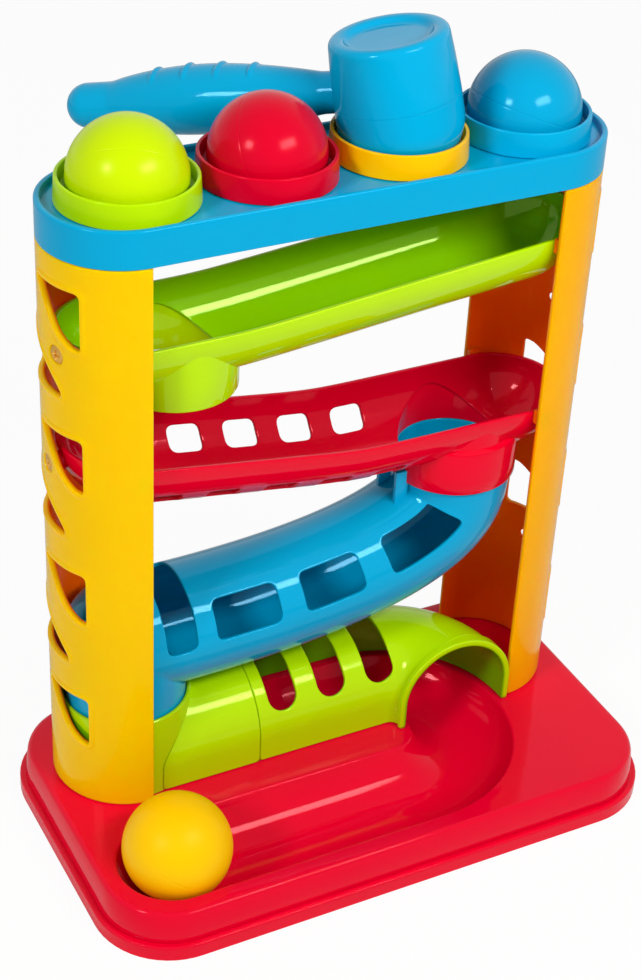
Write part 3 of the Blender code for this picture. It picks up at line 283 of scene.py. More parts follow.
def tray_loop(inset, height):
    """A rounded rectangle, drawn in by the inset: four quarter circles joined by sides."""
    corner, parts = tray_corner - inset, []
    for quarter, (sx, sy) in enumerate(((1, 1), (-1, 1), (-1, -1), (1, -1))):
        a = np.linspace(0.0, math.pi / 2, 15) + quarter * math.pi / 2
        parts.append(arc(corner, a, (sx * (tray_half - inset - corner),
                                     tray_y + sy * (tray_width - inset - corner))))
    return at_height(np.vstack(parts), height)


def channel_line(pitch=0.0025):
    """The channel's middle line in plan: along the tunnel, a quarter turn, a second one on
    a wider radius, and back along the front, with the heading at every point."""
    def run(start, end):
        return np.linspace(start, end, max(2, round(abs(end - start) / pitch) + 1))
    straight = run(-post_x, tunnel_turn_x)
    first, second = (np.linspace(start, start + math.pi / 2, 20)[1:] for start in (0.0, math.pi / 2))
    middle = tunnel_turn_x + turn_one - turn_two
    back = run(middle, channel_stop_x)[1:]
    return np.vstack([
        np.column_stack([straight, 0 * straight, 0 * straight]),
        np.column_stack([tunnel_turn_x + turn_one * np.sin(first), turn_one * (np.cos(first) - 1.0), -first]),
        np.column_stack([middle + turn_two * np.sin(second), turn_two * np.cos(second) - turn_one, -second]),
        np.column_stack([back, 0 * back - turn_one - turn_two, 0 * back - math.pi])])


def channel_sheet(radius, ceiling, fillet):
    """The channel's skin: a circular section about the falling middle line, which turns
    into the flat at the ceiling height through a fillet, and swings round at both ends."""
    line = channel_line()
    travel = travelled(line[:, :2])
    level = channel_start + channel_radius - (channel_start - channel_end) * travel / travel[-1]
    side = np.stack([np.sin(line[:, 2]), -np.cos(line[:, 2])], axis=1)
    swing = np.radians(np.linspace(0.0, 90.0, 14))[1:, None]
    ends = []
    for end, sign in ((0, -1.0), (-1, 1.0)):
        ahead = sign * np.array([math.cos(line[end, 2]), math.sin(line[end, 2])]) * np.sin(swing)
        ends.append((np.repeat(line[end, None, :2], len(swing), axis=0), np.full(len(swing), level[end]),
                     side[end] * np.cos(swing) + ahead, -side[end] * np.cos(swing) + ahead))
    centre, level, left, right = (
        np.concatenate([first[::-1], along, last])
        for first, along, last in zip(ends[0], (line[:, :2], level, side, -side), ends[1]))
    depth = level - ceiling + fillet
    reach_out = np.sqrt((radius + fillet) ** 2 - depth ** 2)
    steepest = np.arctan2(reach_out, depth)[:, None]
    arc = steepest * np.linspace(0.0, 1.0, 17)
    bend = steepest * np.linspace(1.0, 0.0, 6)[1:]
    out = np.hstack([radius * np.sin(arc), reach_out[:, None] - fillet * np.sin(bend)])
    height = np.hstack([level[:, None] - radius * np.cos(arc), ceiling - fillet + fillet * np.cos(bend)])
    halves = [np.dstack([centre[:, None, 0] + way[:, None, 0] * out,
                         centre[:, None, 1] + way[:, None, 1] * out, height]) for way in (left, right)]
    net = np.concatenate([halves[0][:, ::-1], halves[1][:, 1:]], axis=1)
    return net, np.vstack([net[:, 0, :2], net[::-1, -1, :2]])


def flat_with_channel(border, outline, height, pitch):
    """A level sheet inside the border loop with the channel's outline left open."""
    outline = outline[np.linalg.norm(outline - np.roll(outline, 1, axis=0), axis=1) > 0.00001]
    low, high = border.min(axis=0), border.max(axis=0)
    x, y = np.meshgrid(np.arange(low[0], high[0], pitch), np.arange(low[1], high[1], pitch))
    spots = np.column_stack([x.ravel(), y.ravel()])
    spots = spots[inside(spots, border) & ~inside(spots, outline)]
    flat, faces = meshed(border, [outline], spots)
    return at_height(flat, height), [faces]


def shoulder(inset, top, radius):
    """A quarter circle that rises to the top, as (inset, height) pairs."""
    return [(inset + radius * (1 - math.cos(a)), top - radius + radius * math.sin(a)) for a in quarter_turn]


quarter_turn = np.radians(np.linspace(0.0, 90.0, 6))
outer_steps = [(0.0, 0.0), (0.0, 0.0010), (0.0, flange_top - 0.0012)] + shoulder(0.0, flange_top, 0.0010)
outer_steps += [(flange_width - 0.0009, flange_top)]
outer_steps += [(flange_width - 0.0007 * math.cos(a), flange_top + 0.0007 * (1 - math.sin(a)))
                for a in quarter_turn[::-1]]
outer_steps += [(flange_width + 0.0004, plateau - 0.0026)] + shoulder(flange_width + 0.0006, plateau, 0.0022)
inner_steps = [(0.0, 0.0), (0.0022, 0.0), (0.0024, flange_top - tray_skin), (0.0056, flange_top - tray_skin),
               (0.0062, plateau - tray_skin)]
tray_shells = []
for steps, radius, ceiling, fillet, pitch in (
        (outer_steps, channel_radius, plateau, 0.0013, 0.006),
        (inner_steps, channel_radius + channel_wall, plateau - tray_skin, 0.0004, 0.009)):
    net, outline = channel_sheet(radius, ceiling, fillet)
    wall = np.stack([tray_loop(inset, height) for inset, height in steps])
    tray_shells += [grid(wall, round_columns=True), grid(net),
                    flat_with_channel(tray_loop(*steps[-1])[:, :2], outline, ceiling, pitch)]


def under_rib(start, end, thickness=0.0020):
    """A rib below the tray: a thin upright plate whose top is buried in the skin over it."""
    line = channel_line(0.004)
    share = np.linspace(0.0, 1.0, 61)[:, None]
    along = np.array(start) + share * (np.array(end) - np.array(start))
    gaps = np.linalg.norm(along[:, None] - line[:, :2], axis=2)
    gap, shell = gaps.min(axis=1), channel_radius + channel_wall / 2
    level = np.interp(gaps.argmin(axis=1), [0, len(line)], [channel_start, channel_end]) + channel_radius
    dip = level - np.sqrt(np.maximum(shell ** 2 - gap ** 2, 0.0))
    top = np.minimum(plateau - tray_skin / 2, np.where(gap < shell, dip, plateau))
    across = unit(np.array([end[1] - start[1], start[0] - end[0]])) * thickness / 2
    left, right = along - across, along + across
    ring = [at_height(left, 0.0004), at_height(right, 0.0004), at_height(right, top), at_height(left, top)]
    return capped(np.stack(ring, axis=1))


tray_shells += [under_rib((-post_x, 0.0), (post_x, 0.0)), under_rib((0.0, 0.0420), (0.0, -0.0960)),
                under_rib((-0.0880, -0.0655), (0.0560, -0.0655))]
tray_shells.append(looped([at_height(circle(radius, 32), height) for radius, height in (
    (0.0022, 0.0080), (0.0022, 0.0), (0.0060, 0.0), (0.0060, 0.0080))]))
tray_red = moulded_plastic("tray_red", (0.79, 0.0, 0.024), polish=0.06, gloss=0.28)
hand_over("tray_moulding", tray_shells, tray_red, "tower", "red", "base_tray")


# The straight part of the tunnel with its collar: a lime arch that stands over the
# channel, closed at the left by the round collar that the tube's spout drops into. It is
# one moulding, snapped into the tray, and it laps over the next section by its step.
def reach(points, chains):
    """The distance from each point to the nearest straight piece of the chains."""
    best = np.full(len(points), np.inf)
    for chain in chains:
        for first in range(0, len(chain) - 1, 48):
            part = chain[first:first + 49]
            run = np.diff(part, axis=0)
            away = points[:, None] - part[:-1]
            share = limited((away * run).sum(axis=2) / (run ** 2).sum(axis=1))
            best = np.minimum(best, np.linalg.norm(away - share[..., None] * run, axis=2).min(axis=1))
    return best


def closed(loop):
    return np.vstack([loop, loop[:1]])


def beside(chain, distances, loop=False):
    """Copies of a chain moved to its right by each distance along its own normals."""
    run = np.roll(chain, -1, axis=0) - np.roll(chain, 1, axis=0) if loop else np.gradient(chain, axis=0)
    right = unit(np.stack([run[:, 1], -run[:, 0]], axis=1))
    return np.vstack([chain + right * distance for distance in distances])


def lattice(outline, pitch):
    """Evenly spaced spots over the outline's box."""
    x, y = np.meshgrid(*(np.linspace(low, high, max(2, round((high - low) / pitch)) + 1)[1:-1]
                         for low, high in zip(outline.min(axis=0), outline.max(axis=0))))
    return np.column_stack([x.ravel(), y.ravel()])


def anticlockwise(loop):
    x, y = loop.T
    return loop if (x * np.roll(y, -1) - y * np.roll(x, -1)).sum() > 0 else loop[::-1]


def walled(place, outline, rims, holes, wall, edge, pitch, relief=None, extra_rows=(), more_spots=None):
    """A wall of even thickness over a flat pattern. Half the thickness stays on each side
    of the middle skin, and near a rim or hole it follows a quarter circle of the edge's
    radius. The relief is a height that is added to the outer side."""
    outline, holes = anticlockwise(outline), [anticlockwise(hole) for hole in holes]
    steps = np.array([edge * share for share in (0.14, 0.5, 1.0, 1.7)] + list(extra_rows))
    chains = list(rims) + [closed(hole) for hole in holes]
    rows = [beside(hole, steps, loop=True) for hole in holes]
    rows += [np.vstack([beside(rim, steps), beside(rim, -steps)]) for rim in rims]
    spots = lattice(outline, pitch)
    if more_spots is not None:
        spots = spots[reach(spots, [more_spots]) > 0.4 * pitch]
        spots = np.vstack([spots, more_spots])
    spots = spots[reach(spots, chains) > steps[-1] + 0.45 * pitch]
    if rows:
        rows = np.vstack(rows)
        rows = rows[inside(rows, outline)]
        off_row = np.abs(reach(rows, chains)[:, None] - steps).min(axis=1)
        spots = np.vstack([rows[off_row < 0.00002], spots])
    spots = spots[inside(spots, outline)]
    for hole in holes:
        spots = spots[~inside(spots, hole)]
    to_side, to_edge = reach(spots, [closed(outline)]), reach(spots, chains)
    spots = spots[(to_side > 0.3 * pitch) | (to_edge < steps[-1] * 1.01) & (to_side > edge * 0.05)]
    flat, faces = meshed(outline, holes, spots)
    depth = reach(flat, chains)
    near = np.minimum(depth, edge)
    half = wall / 2 - edge + np.sqrt(np.maximum(edge ** 2 - (edge - near) ** 2, 0.0))
    outer, inner = place(flat, half + (relief(flat) if relief else 0.0)), place(flat, -half)
    pairs = np.sort(faces[:, [0, 1, 1, 2, 2, 0]].reshape(-1, 2), axis=1)
    pairs, count = np.unique(pairs, axis=0, return_counts=True)
    start, end = pairs[(count == 1) & (depth[pairs].max(axis=1) < 0.000003)].T
    bands = np.stack([start, end, end + len(flat), start + len(flat)], axis=1)
    return np.vstack([outer, inner]), [faces, faces[:, ::-1] + len(flat), bands]


def run_along(start, end, pitch=0.002):
    """A straight chain with a point every pitch."""
    start, end = np.array(start, float), np.array(end, float)
    steps = max(1, round(np.linalg.norm(end - start) / pitch))
    return np.vstack([start + np.arange(steps)[:, None] / steps * (end - start), end[None]])


def joined(*sides):
    """One loop from sides that each start where the one before ends."""
    return np.vstack([side[:-1] for side in sides])


def strip_sides(start, end, half, pitch=0.002):
    """The four sides of an unrolled strip, from its starting edge round."""
    corners = [(start, half), (start, -half), (end, -half), (end, half)]
    return [run_along(first, last, step) for first, last, step in zip(
        corners, corners[1:] + corners[:1], (0.002, pitch, pitch, pitch))]


def turned(section, centre=(0.0, 0.0), sides=96):
    """A closed section of (radius, height) pairs carried round an upright axis."""
    turn, radius = full_turn(sides)[:, None], section[:, 0]
    return looped(np.dstack([centre[0] + np.cos(turn) * radius, centre[1] + np.sin(turn) * radius,
                             np.broadcast_to(section[:, 1], (sides, len(section)))]))


tunnel_z, tunnel_inner, tunnel_foot, tunnel_seam, seam_gap = 0.0330, 0.0246, 0.0213, -0.0350, 0.00015
collar_in, collar_out, collar_rim, rim_ease = 0.0257, 0.0273, 0.0605, 0.0004
collar_middle = tunnel_inner + 0.0012
arch_reach = collar_middle * math.pi / 2 + tunnel_z - tunnel_foot


def arch_spot(around, middle, lift):
    """Across and height of a point on the arch: a half circle over two upright legs,
    by the length around it from the crown."""
    quarter = middle * math.pi / 2
    angle = np.clip(around, -quarter, quarter) / middle
    leg = np.maximum(np.abs(around) - quarter, 0.0)
    return -(middle + lift) * np.sin(angle), tunnel_z + (middle + lift) * np.cos(angle) - leg


def collar_arch(flat, lift):
    return np.column_stack([flat[:, 0], *arch_spot(flat[:, 1], collar_middle, lift)])


around = run_along((0.0, arch_reach), (0.0, -arch_reach), pitch=0.0015)[:, 1]
across = np.abs(arch_spot(around, collar_middle, 0.0)[0])
pipe_edge = -post_x + np.sqrt(np.maximum(((collar_in + collar_out) / 2) ** 2 - across ** 2, 0.0))
left_side = np.column_stack([pipe_edge, around])
right_side = np.column_stack([np.full(len(around), tunnel_seam - seam_gap), around])[::-1]
top_side, low_side = run_along(left_side[-1], right_side[0]), run_along(right_side[-1], left_side[0])
outline = np.vstack([left_side, top_side[1:-1], right_side, low_side[1:-1]])
arch_shell = walled(collar_arch, outline, [right_side, top_side, low_side], [], wall=0.0024, edge=0.0005,
                    pitch=0.0025)


def collar_pipe():
    """The collar: a short pipe whose right half ends on the arch's skin and whose left
    half runs down to the tray, with a rounded rim."""
    def foot(radius):
        x, y = circle(radius, 96).T
        skin = tunnel_z + np.sqrt(np.maximum(collar_middle ** 2 - y ** 2, 0.0))
        on_arch = (x > 0.0005) & (np.abs(y) < collar_middle)
        return np.minimum(np.where(on_arch, skin, tunnel_foot), collar_rim - 0.0010)

    def row(radius, height):
        return at_height(circle(radius, 96, (-post_x, 0.0)), height)

    shares, edge = np.linspace(1.0, 0.0, 7), collar_rim - rim_ease
    rows = [row(collar_out, foot(collar_out) * share + edge * (1 - share)) for share in shares]
    rows += [row(collar_out - rim_ease, collar_rim), row(collar_in + rim_ease, collar_rim)]
    rows += [row(collar_in, foot(collar_in) * (1 - share) + edge * share) for share in shares]
    return looped(rows)


def tunnel_shade_zone(x, y, z):
    """The distance from the tunnel's middle line, and where the painted shade of its inner side starts."""
    past, over = (x - tunnel_turn_x).at_least(0.0), (z - tunnel_z).at_least(0.0)
    across = (past * past + (y + turn_one) * (y + turn_one)) ** 0.5 - turn_one
    return (across * across + over * over) ** 0.5, 0.0258, 0.0248


# The inside of the arch is painted a darker green: painted shade and bounced light inside the tunnel.
tunnel_lime = moulded_plastic("tunnel_lime", (0.470, 0.760, 0.0), polish=0.10, hollow=tunnel_shade_zone,
                              painted_shade=(0.15, 0.48, 0.0))
ledge = turned(eased([(0.0236, 0.0545), (0.0236, 0.0526), (0.0268, 0.0526), (0.0268, 0.0545)], 0.0002, 0.002),
               (-post_x, 0.0))
tab = eased(box(-0.0372, -0.0338, -0.0018, 0.0018), 0.0006, 0.0006)
tab_shell = capped([at_height(tab * scale + (1 - scale) * tab.mean(axis=0), height)
                    for scale, height in ((1.0, 0.0595), (1.0, 0.0606), (0.86, 0.0608))])
hand_over("tunnel_straight", [arch_shell, collar_pipe(), ledge, tab_shell],
          tunnel_lime, "tower", "lime", "tunnel_collar")


# The tunnel's second part: the same arch with three slots over its crown, a quarter turn
# towards the front and a thicker lip round its mouth. One lime moulding on the tray.
elbow_middle = tunnel_inner + 0.0010
elbow_reach = elbow_middle * math.pi / 2 + tunnel_z - tunnel_foot
straight_length, bend_length = tunnel_turn_x - tunnel_seam, turn_one * math.pi / 2
elbow_length = straight_length + bend_length + 0.0016
slot_count, slot_x, slot_pitch, slot_half, slot_degrees = 3, -0.0225, 0.0234, 0.0067, 66.5
lip_start, lip_height = elbow_length - 0.0044, 0.0010
crease_at, crease_half, crease_depth = elbow_length - 0.0048, 0.0005, 0.0004


def elbow_spot(flat, lift):
    """Straight along the base first, then round a quarter circle, then straight again. The
    lip stands proud at the mouth, with a shallow crease behind it."""
    along, around = flat.T
    across, height = arch_spot(around, elbow_middle, lift)
    lip = limited((along - lip_start) / 0.0004)
    crease = limited(1.0 - np.abs(along - crease_at) / crease_half)
    proud = (lip_height * lip - crease_depth * crease) * (lift > 0)
    across = across * (1 + proud / elbow_middle)
    on_arch = np.abs(around) < elbow_middle * math.pi / 2
    height = height + np.where(on_arch, proud * np.cos(around / elbow_middle), 0.0)
    bend = np.clip(along - straight_length, 0.0, bend_length) / turn_one
    rest = np.maximum(along - straight_length - bend_length, 0.0)
    x = tunnel_seam + np.minimum(along, straight_length) + turn_one * np.sin(bend)
    y = turn_one * (np.cos(bend) - 1.0) - rest
    return np.column_stack([x + across * np.sin(bend), y + across * np.cos(bend), height])


slots = []
for index in range(slot_count):
    turn = np.linspace(0.0, math.pi, 21)
    end = math.radians(slot_degrees) * elbow_middle - slot_half
    round_end = arc(slot_half, turn, (0.0, end))
    side = run_along(round_end[-1], -round_end[0], 0.0012)[1:-1]
    slot = np.vstack([round_end, side, -round_end, -side])
    x = slot_x + index * slot_pitch + slot[:, 0]
    across = arch_spot(slot[:, 1], elbow_middle, 0.0)[0]
    bend = np.arcsin(limited((x - tunnel_turn_x) / (turn_one + across)))
    along = np.where(x > tunnel_turn_x, tunnel_turn_x + turn_one * bend, x) - tunnel_seam
    slots.append(np.column_stack([along, slot[:, 1]]))
elbow_rims = strip_sides(seam_gap, elbow_length, elbow_reach, 0.0012)
lip_rows = np.vstack([elbow_rims[2][1:-1] - (back, 0.0)
                      for back in (0.0033, 0.0040, 0.0044, 0.0048, 0.0053, 0.0060)])
elbow_shell = walled(elbow_spot, joined(*elbow_rims), elbow_rims, slots, wall=0.0020, edge=0.0005,
                     pitch=0.0022, more_spots=lip_rows)
hand_over("tunnel_turn", [elbow_shell], tunnel_lime, "tower", "lime", "tunnel_elbow")


# The curved tube: a blue pipe from the middle trough's spout down to the collar, in one
# sweep, with side windows that show the ball. Its left end is a ball-cornered elbow.
tube_inner, tube_wall, tube_low, tube_foot = 0.0236, 0.0018, 0.0872, 0.0545
drop_x, tube_middle, neck_top, sweep_start = 0.0645, 0.0236 + 0.0009, 0.1407, 0.1287


def tube_line():
    """Points of the tube's middle line in the upright plane: straight down, a cubic curve
    with a pull down and a pull along the level, then level to the left post."""
    start, end = np.array([drop_x, sweep_start]), np.array([-drop_x, tube_low])
    pull_down = start - np.array([0.0, 0.72 * (start[1] - end[1])])
    pull_level = np.array([end[0] + 0.54 * (start[0] - end[0]), tube_low])
    t = np.linspace(0.0, 1.0, 121)[:, None]
    sweep = ((1 - t) ** 3 * start + 3 * (1 - t) ** 2 * t * pull_down
             + 3 * (1 - t) * t ** 2 * pull_level + t ** 3 * end)
    neck = np.column_stack([np.full(8, drop_x), np.linspace(neck_top, sweep_start, 9)[:-1]])
    level = np.column_stack([np.linspace(-drop_x, -post_x, 14)[1:], np.full(13, tube_low)])
    return np.vstack([neck, sweep, level])


tube_points = tube_line()
tube_travel, tube_run = travelled(tube_points), unit(np.gradient(tube_points, axis=0))


def tube_spot(flat, lift):
    """A circle round the middle line, measured from its top side; lift adds to the radius."""
    x, z = (np.interp(flat[:, 0], tube_travel, tube_points[:, axis]) for axis in (0, 1))
    run_x, run_z = (np.interp(flat[:, 0], tube_travel, tube_run[:, axis]) for axis in (0, 1))
    angle = flat[:, 1] / tube_middle
    up = (tube_middle + lift) * np.cos(angle)
    return np.column_stack([x + up * run_z, -(tube_middle + lift) * np.sin(angle), z - up * run_x])


def travel_at(x):
    return float(np.interp(-x, -tube_points[:, 0], tube_travel))


def window(start, end, low_degrees, high_degrees, middle, corner):
    """A round-cornered opening in an unrolled wall whose middle skin has the radius middle."""
    low, high = math.radians(low_degrees) * middle, math.radians(high_degrees) * middle
    return eased(box(start, end, low, high), corner, 0.0014)


elbow_angles = np.linspace(-math.pi, math.pi, 97)
mitre = tube_travel[-1] - np.maximum(-tube_middle * np.cos(elbow_angles), 0.0)
left_side = np.column_stack([mitre, elbow_angles * tube_middle])[::-1]
neck_side = np.column_stack([np.zeros(97), elbow_angles * tube_middle])
low_side = run_along(left_side[-1], neck_side[0])
high_side = np.column_stack([low_side[::-1, 0], -low_side[::-1, 1]])
windows = [window(start, end, low, high, tube_middle, 0.0040) for start, end, low, high in (
    (travel_at(-0.0250), travel_at(-0.0548), 40.0, 81.0),
    (travel_at(0.0146), travel_at(-0.0137), 40.0, 81.0), (0.0230, 0.0640, 40.0, 81.0),
    (travel_at(-0.0637), travel_at(-0.0772), -42.0, 84.0))]
tube_shell = walled(tube_spot, joined(neck_side, high_side, left_side, low_side), [neck_side], windows,
                    tube_wall, edge=0.0005, pitch=0.0025)


def tube_corner(radius):
    """The closed end: a quarter ball that turns the level pipe's upper half downwards, and
    an upright stub below it that meets the lower half along a mitre."""
    angle = elbow_angles
    upper = np.abs(angle) <= math.pi / 2 + 0.00001
    x, y, foot = -post_x - radius * np.cos(angle), -radius * np.sin(angle), tube_foot + 0.0008
    rows = []
    for turn in np.radians(np.linspace(0.0, 90.0, 17)):
        over = np.where(upper, -radius * math.sin(turn) * np.cos(angle), -tube_middle * np.cos(angle))
        height = np.where(upper, radius * math.cos(turn) * np.cos(angle), radius * np.cos(angle))
        rows.append(np.column_stack([-post_x + over, y, tube_low + height]))
    top = rows[-1][:, 2]
    rows += [np.column_stack([x, y, top + share * (foot - top)]) for share in np.linspace(0.0, 1.0, 13)[1:]]
    return grid(np.stack(rows))


tube_outer, lip_top = tube_inner + tube_wall, tube_foot + 0.0012
lip_section = [(tube_inner, lip_top), (tube_inner, tube_foot), (tube_outer, tube_foot), (tube_outer, lip_top)]
lip = turned(eased(lip_section, (0.0, 0.0005, 0.0005, 0.0), 0.001), (-post_x, 0.0))
tab_face = ((0.0334, 0.1215), (0.0392, 0.1245), (0.0392, 0.1405), (0.0334, 0.1405))
tabs = [capped([[(x, y, z) for x, z in tab_face] for y in sides])
        for sides in ((-0.0082, -0.0064), (0.0064, 0.0082))]
pin_spot = (travel_at(-0.0595), math.radians(-128.0) * tube_middle)
pin_mark = looped([tube_spot(circle(radius, 32, pin_spot), lift) for radius, lift in (
    (0.0012, -0.0006), (0.00125, -0.00115), (0.00155, -0.00115), (0.0016, -0.0006))])
tube_blue = moulded_plastic("tube_blue", (0.0, 0.365, 0.635), polish=0.06, gloss=0.34)
tube_shells = [tube_shell, tube_corner(tube_outer), tube_corner(tube_inner), lip, pin_mark] + tabs
hand_over("tube_moulding", tube_shells, tube_blue, "tower", "blue", "tube_curved")


# The middle trough: a red half-round gutter that falls to the right, with windows along
# both walls and a drop hole into a stepped spout that holds the tube's neck. One moulding,
# screwed to the left post and resting in the posts' clips.
trough_wall, trough_middle, drop_radius = 0.0019, 0.02495, 0.0234
top_line, middle_line = (-0.045, 0.2338, 0.100, 1.0), (0.008, 0.1683, 0.148, -1.0)
upper_screw, lower_screw = (0.2308, 17.0), (0.17936, 1.0)


def stadium(radius, pitch=0.0020):
    """Two half circles about the posts' centres joined by straight sides."""
    sides = max(8, round(math.pi * radius / pitch))
    across = arc(radius, np.linspace(-math.pi / 2, math.pi / 2, sides + 1))
    straight = np.linspace(post_x, -post_x, round(2 * post_x / pitch) + 1)[1:-1, None]
    edge = np.hstack([straight, np.full_like(straight, radius)])
    return np.vstack([across + (post_x, 0.0), edge, -across - (post_x, 0.0), -edge])


def softened(distance, blend=0.006):
    """Zero well before the bend and straight well past it, with a smooth start."""
    return blend * np.logaddexp(0.0, distance / blend)


def rim_height(line, x):
    """The height of a trough's rim, which is also its middle line: level up to the bend, and
    then a steady climb to one side. A line is (bend x, level, slope, side)."""
    bend_x, level, slope, side = line
    return level + slope * softened((x - bend_x) * side)


def trough_spot(line):
    """The unrolled pattern is a stadium: the length from its middle line, over the section
    radius, is the angle from the bottom of the half-round wall."""
    def spot(flat, lift):
        over = np.clip(flat[:, 0], -post_x, post_x)
        away = np.column_stack([flat[:, 0] - over, flat[:, 1]])
        length = np.linalg.norm(away, axis=1)
        angle, way = length / trough_middle, away / np.maximum(length, 0.0000001)[:, None]
        level = rim_height(line, over + way[:, 0] * trough_middle * np.sin(angle))
        out, down = (trough_middle + lift) * np.sin(angle), (trough_middle + lift) * np.cos(angle)
        return np.column_stack([over + way[:, 0] * out, way[:, 1] * out, level - down])
    return spot


def unrolled(plan):
    """Where a point seen from above lies on the unrolled pattern."""
    over = np.clip(plan[:, 0], -post_x, post_x)
    away = np.column_stack([plan[:, 0] - over, plan[:, 1]])
    length = np.linalg.norm(away, axis=1)[:, None]
    arc = trough_middle * np.arcsin(np.minimum(length / trough_middle, 1.0))
    return np.column_stack([over, 0 * over]) + away / np.maximum(length, 0.0000001) * arc


def gutter(line, hole_x, windows):
    """The half-round wall with its round drop hole and its windows."""
    outline = stadium(trough_middle * math.pi / 2)
    hole = unrolled(circle(drop_radius, 120, (hole_x, 0.0)))
    return walled(trough_spot(line), outline, [closed(outline)], [hole] + windows, trough_wall,
                  edge=0.00055, pitch=0.0026)


def spout(line, hole_x, steps):
    """An upright pipe below a drop hole: its outer and then its inner side as (radius,
    height) pairs. It never rises past the middle of the trough's own wall."""
    rows = []
    for radius, height in steps:
        plan = circle(radius, 120, (hole_x, 0.0))
        gap = np.hypot(plan[:, 0] - np.clip(plan[:, 0], -post_x, post_x), plan[:, 1])
        skin = rim_height(line, plan[:, 0]) - np.sqrt(np.maximum(trough_middle ** 2 - gap ** 2, 0.000009))
        rows.append(at_height(plan, np.minimum(height, skin)))
    return looped(rows)


def trough_shade_zone(line):
    """The distance from a trough's falling middle line, and where the painted shade of its inner side starts.
    """
    bend_x, level, slope, side = line

    def away(x, y, z):
        climb, past = ((x - bend_x) * side).at_least(0.0), ((x * x) ** 0.5 - post_x).at_least(0.0)
        drop = z - climb * slope - level
        return (y * y + drop * drop + past * past) ** 0.5, 0.0253, 0.0244
    return away


def post_frame(height, degrees):
    """A point on the left post's middle line, and the directions out of the post at the
    angle from its left, sideways and up."""
    angle = math.radians(degrees)
    out = np.array([-math.cos(angle), -math.sin(angle), 0.0])
    side, up = np.array([-out[1], out[0], 0.0]), np.array([0.0, 0.0, 1.0])
    return np.array([-post_x, 0.0, height]), out, side, up


def screw_pad(height, degrees):
    """A round pad from the trough's left end to the post, where the screw bites."""
    origin, out, side, up = post_frame(height, degrees)
    turn = full_turn(40)[:, None]
    return looped([origin + out * along + radius * (np.cos(turn) * side + np.sin(turn) * up)
                   for radius, along in ((0.0038, 0.0245), (0.0038, 0.0276), (0.0035, 0.0280),
                                         (0.0021, 0.0280), (0.0021, 0.0245))])


windows = []
for index in range(5):
    x = -0.0762 + index * 0.0249
    windows += [window(x - 0.00725, x + 0.00725, low, low + 27.0, trough_middle, 0.0036)
                for low in (-56.0, 40.0)]
middle_spout = spout(middle_line, drop_x, [
    (0.0251, 1.0), (0.0251, 0.1552), (0.0262, 0.1546), (0.0271, 0.1540), (0.0274, 0.1528),
    (0.0274, 0.1400), (0.0274, 0.1350), (0.0271, 0.1345), (0.0260, 0.1345), (0.0257, 0.1350),
    (0.0257, 0.1408), (0.0236, 0.1412), (0.0235, 0.1420), (0.0235, 1.0)])
# The inside of the gutter is painted a darker red: painted shade inside the trough.
middle_red = moulded_plastic("middle_red", (0.78, 0.0, 0.022), polish=0.09, painted_shade=(0.62, 0.0, 0.018),
                             hollow=trough_shade_zone(middle_line))
hand_over("middle_gutter", [gutter(middle_line, drop_x, windows), middle_spout, screw_pad(*lower_screw)],
          middle_red, "tower", "red", "trough_middle")


# The top trough: the lime gutter right under the deck. It catches the three hammered
# balls, falls to the left and lets them drop through a short spout.
top_spout = spout(top_line, -drop_x, [
    (0.0250, 1.0), (0.0250, 0.2150), (0.0250, 0.2046), (0.0247, 0.2040),
    (0.0238, 0.2040), (0.0235, 0.2045), (0.0235, 0.2150), (0.0235, 1.0)])
# The inside of the gutter is painted a darker green: painted shade and bounced light inside the trough.
top_lime = moulded_plastic("top_lime", (0.470, 0.760, 0.0), polish=0.06, gloss=0.46, painted_shade=(0.29, 0.68, 0.0),
                           hollow=trough_shade_zone(top_line))
hand_over("top_gutter", [gutter(top_line, -drop_x, []), top_spout, screw_pad(*upper_screw)],
          top_lime, "tower", "lime", "trough_top")


# The two posts: half tubes in amber plastic, open inwards, that stand on the tray and
# carry the deck. D-shaped windows leave a zigzag ribbon with a raised border round each
# opening, and small clips on the inner edges hold the troughs' rims.
post_middle, post_wall, post_foot, post_top = 0.0298, 0.0024, 0.0213, 0.2707
window_height, window_edge, window_top, window_pitch = 0.0234, math.radians(39.0), 0.2592, 0.0617
border_reach, border_slope, border_start, border_height = 0.0026, 0.0009, 0.0004, 0.00038
sink_radius, sink_slope, sink_depth, hole_radius = 0.0041, 0.0005, 0.0009, 0.0019
front_shape = (-7.0, (0.0, 0.10, 0.30, 0.62, 0.90, 1.0), (0.0, 0.10, 0.25, 0.47, 0.74, 0.93))
rear_shape = (-23.0, (0.0, 0.13, 0.32, 0.60, 0.88, 1.0), (0.0, 0.05, 0.17, 0.43, 0.75, 0.93))


def d_window(top, shape, way=1):
    """One level side, one upright side and a bowed slope between their far ends. Way -1
    stands it the other way up, facing the other way."""
    tip, bow = math.radians(shape[0]), np.poly1d(np.polyfit(shape[1], shape[2], 4))
    share = np.linspace(1.0, 0.0, 26)
    slope = np.column_stack([-share * window_height, (tip + (window_edge - tip) * bow(share)) * post_middle])
    edge = window_edge * post_middle
    corners = np.array([(0.0, slope[-1, 1]), (0.0, edge), (-window_height, edge)])
    first_gap, last_gap = (np.linalg.norm(slope - corner, axis=1) for corner in corners[::2])
    clear = (first_gap > 0.0024) & (last_gap > 0.0026)
    radii = [0.0022, 0.0024, 0.0020] + [0.0] * clear.sum()
    return way * eased(np.vstack([corners, slope[clear]]), radii, 0.0012) + (top, 0.0)


def post_clip(side, face, height):
    """A small jaw on the post's inner edge with a notch that the trough's rim sits in."""
    section = eased(box(side * (post_x + 0.0003), side * (post_x + 0.0050), height - 0.0050, height + 0.0012),
                    0.0006, 0.002)
    return capped([np.insert(section, 1, face * y, axis=1) for y in (0.0262, 0.0296)])


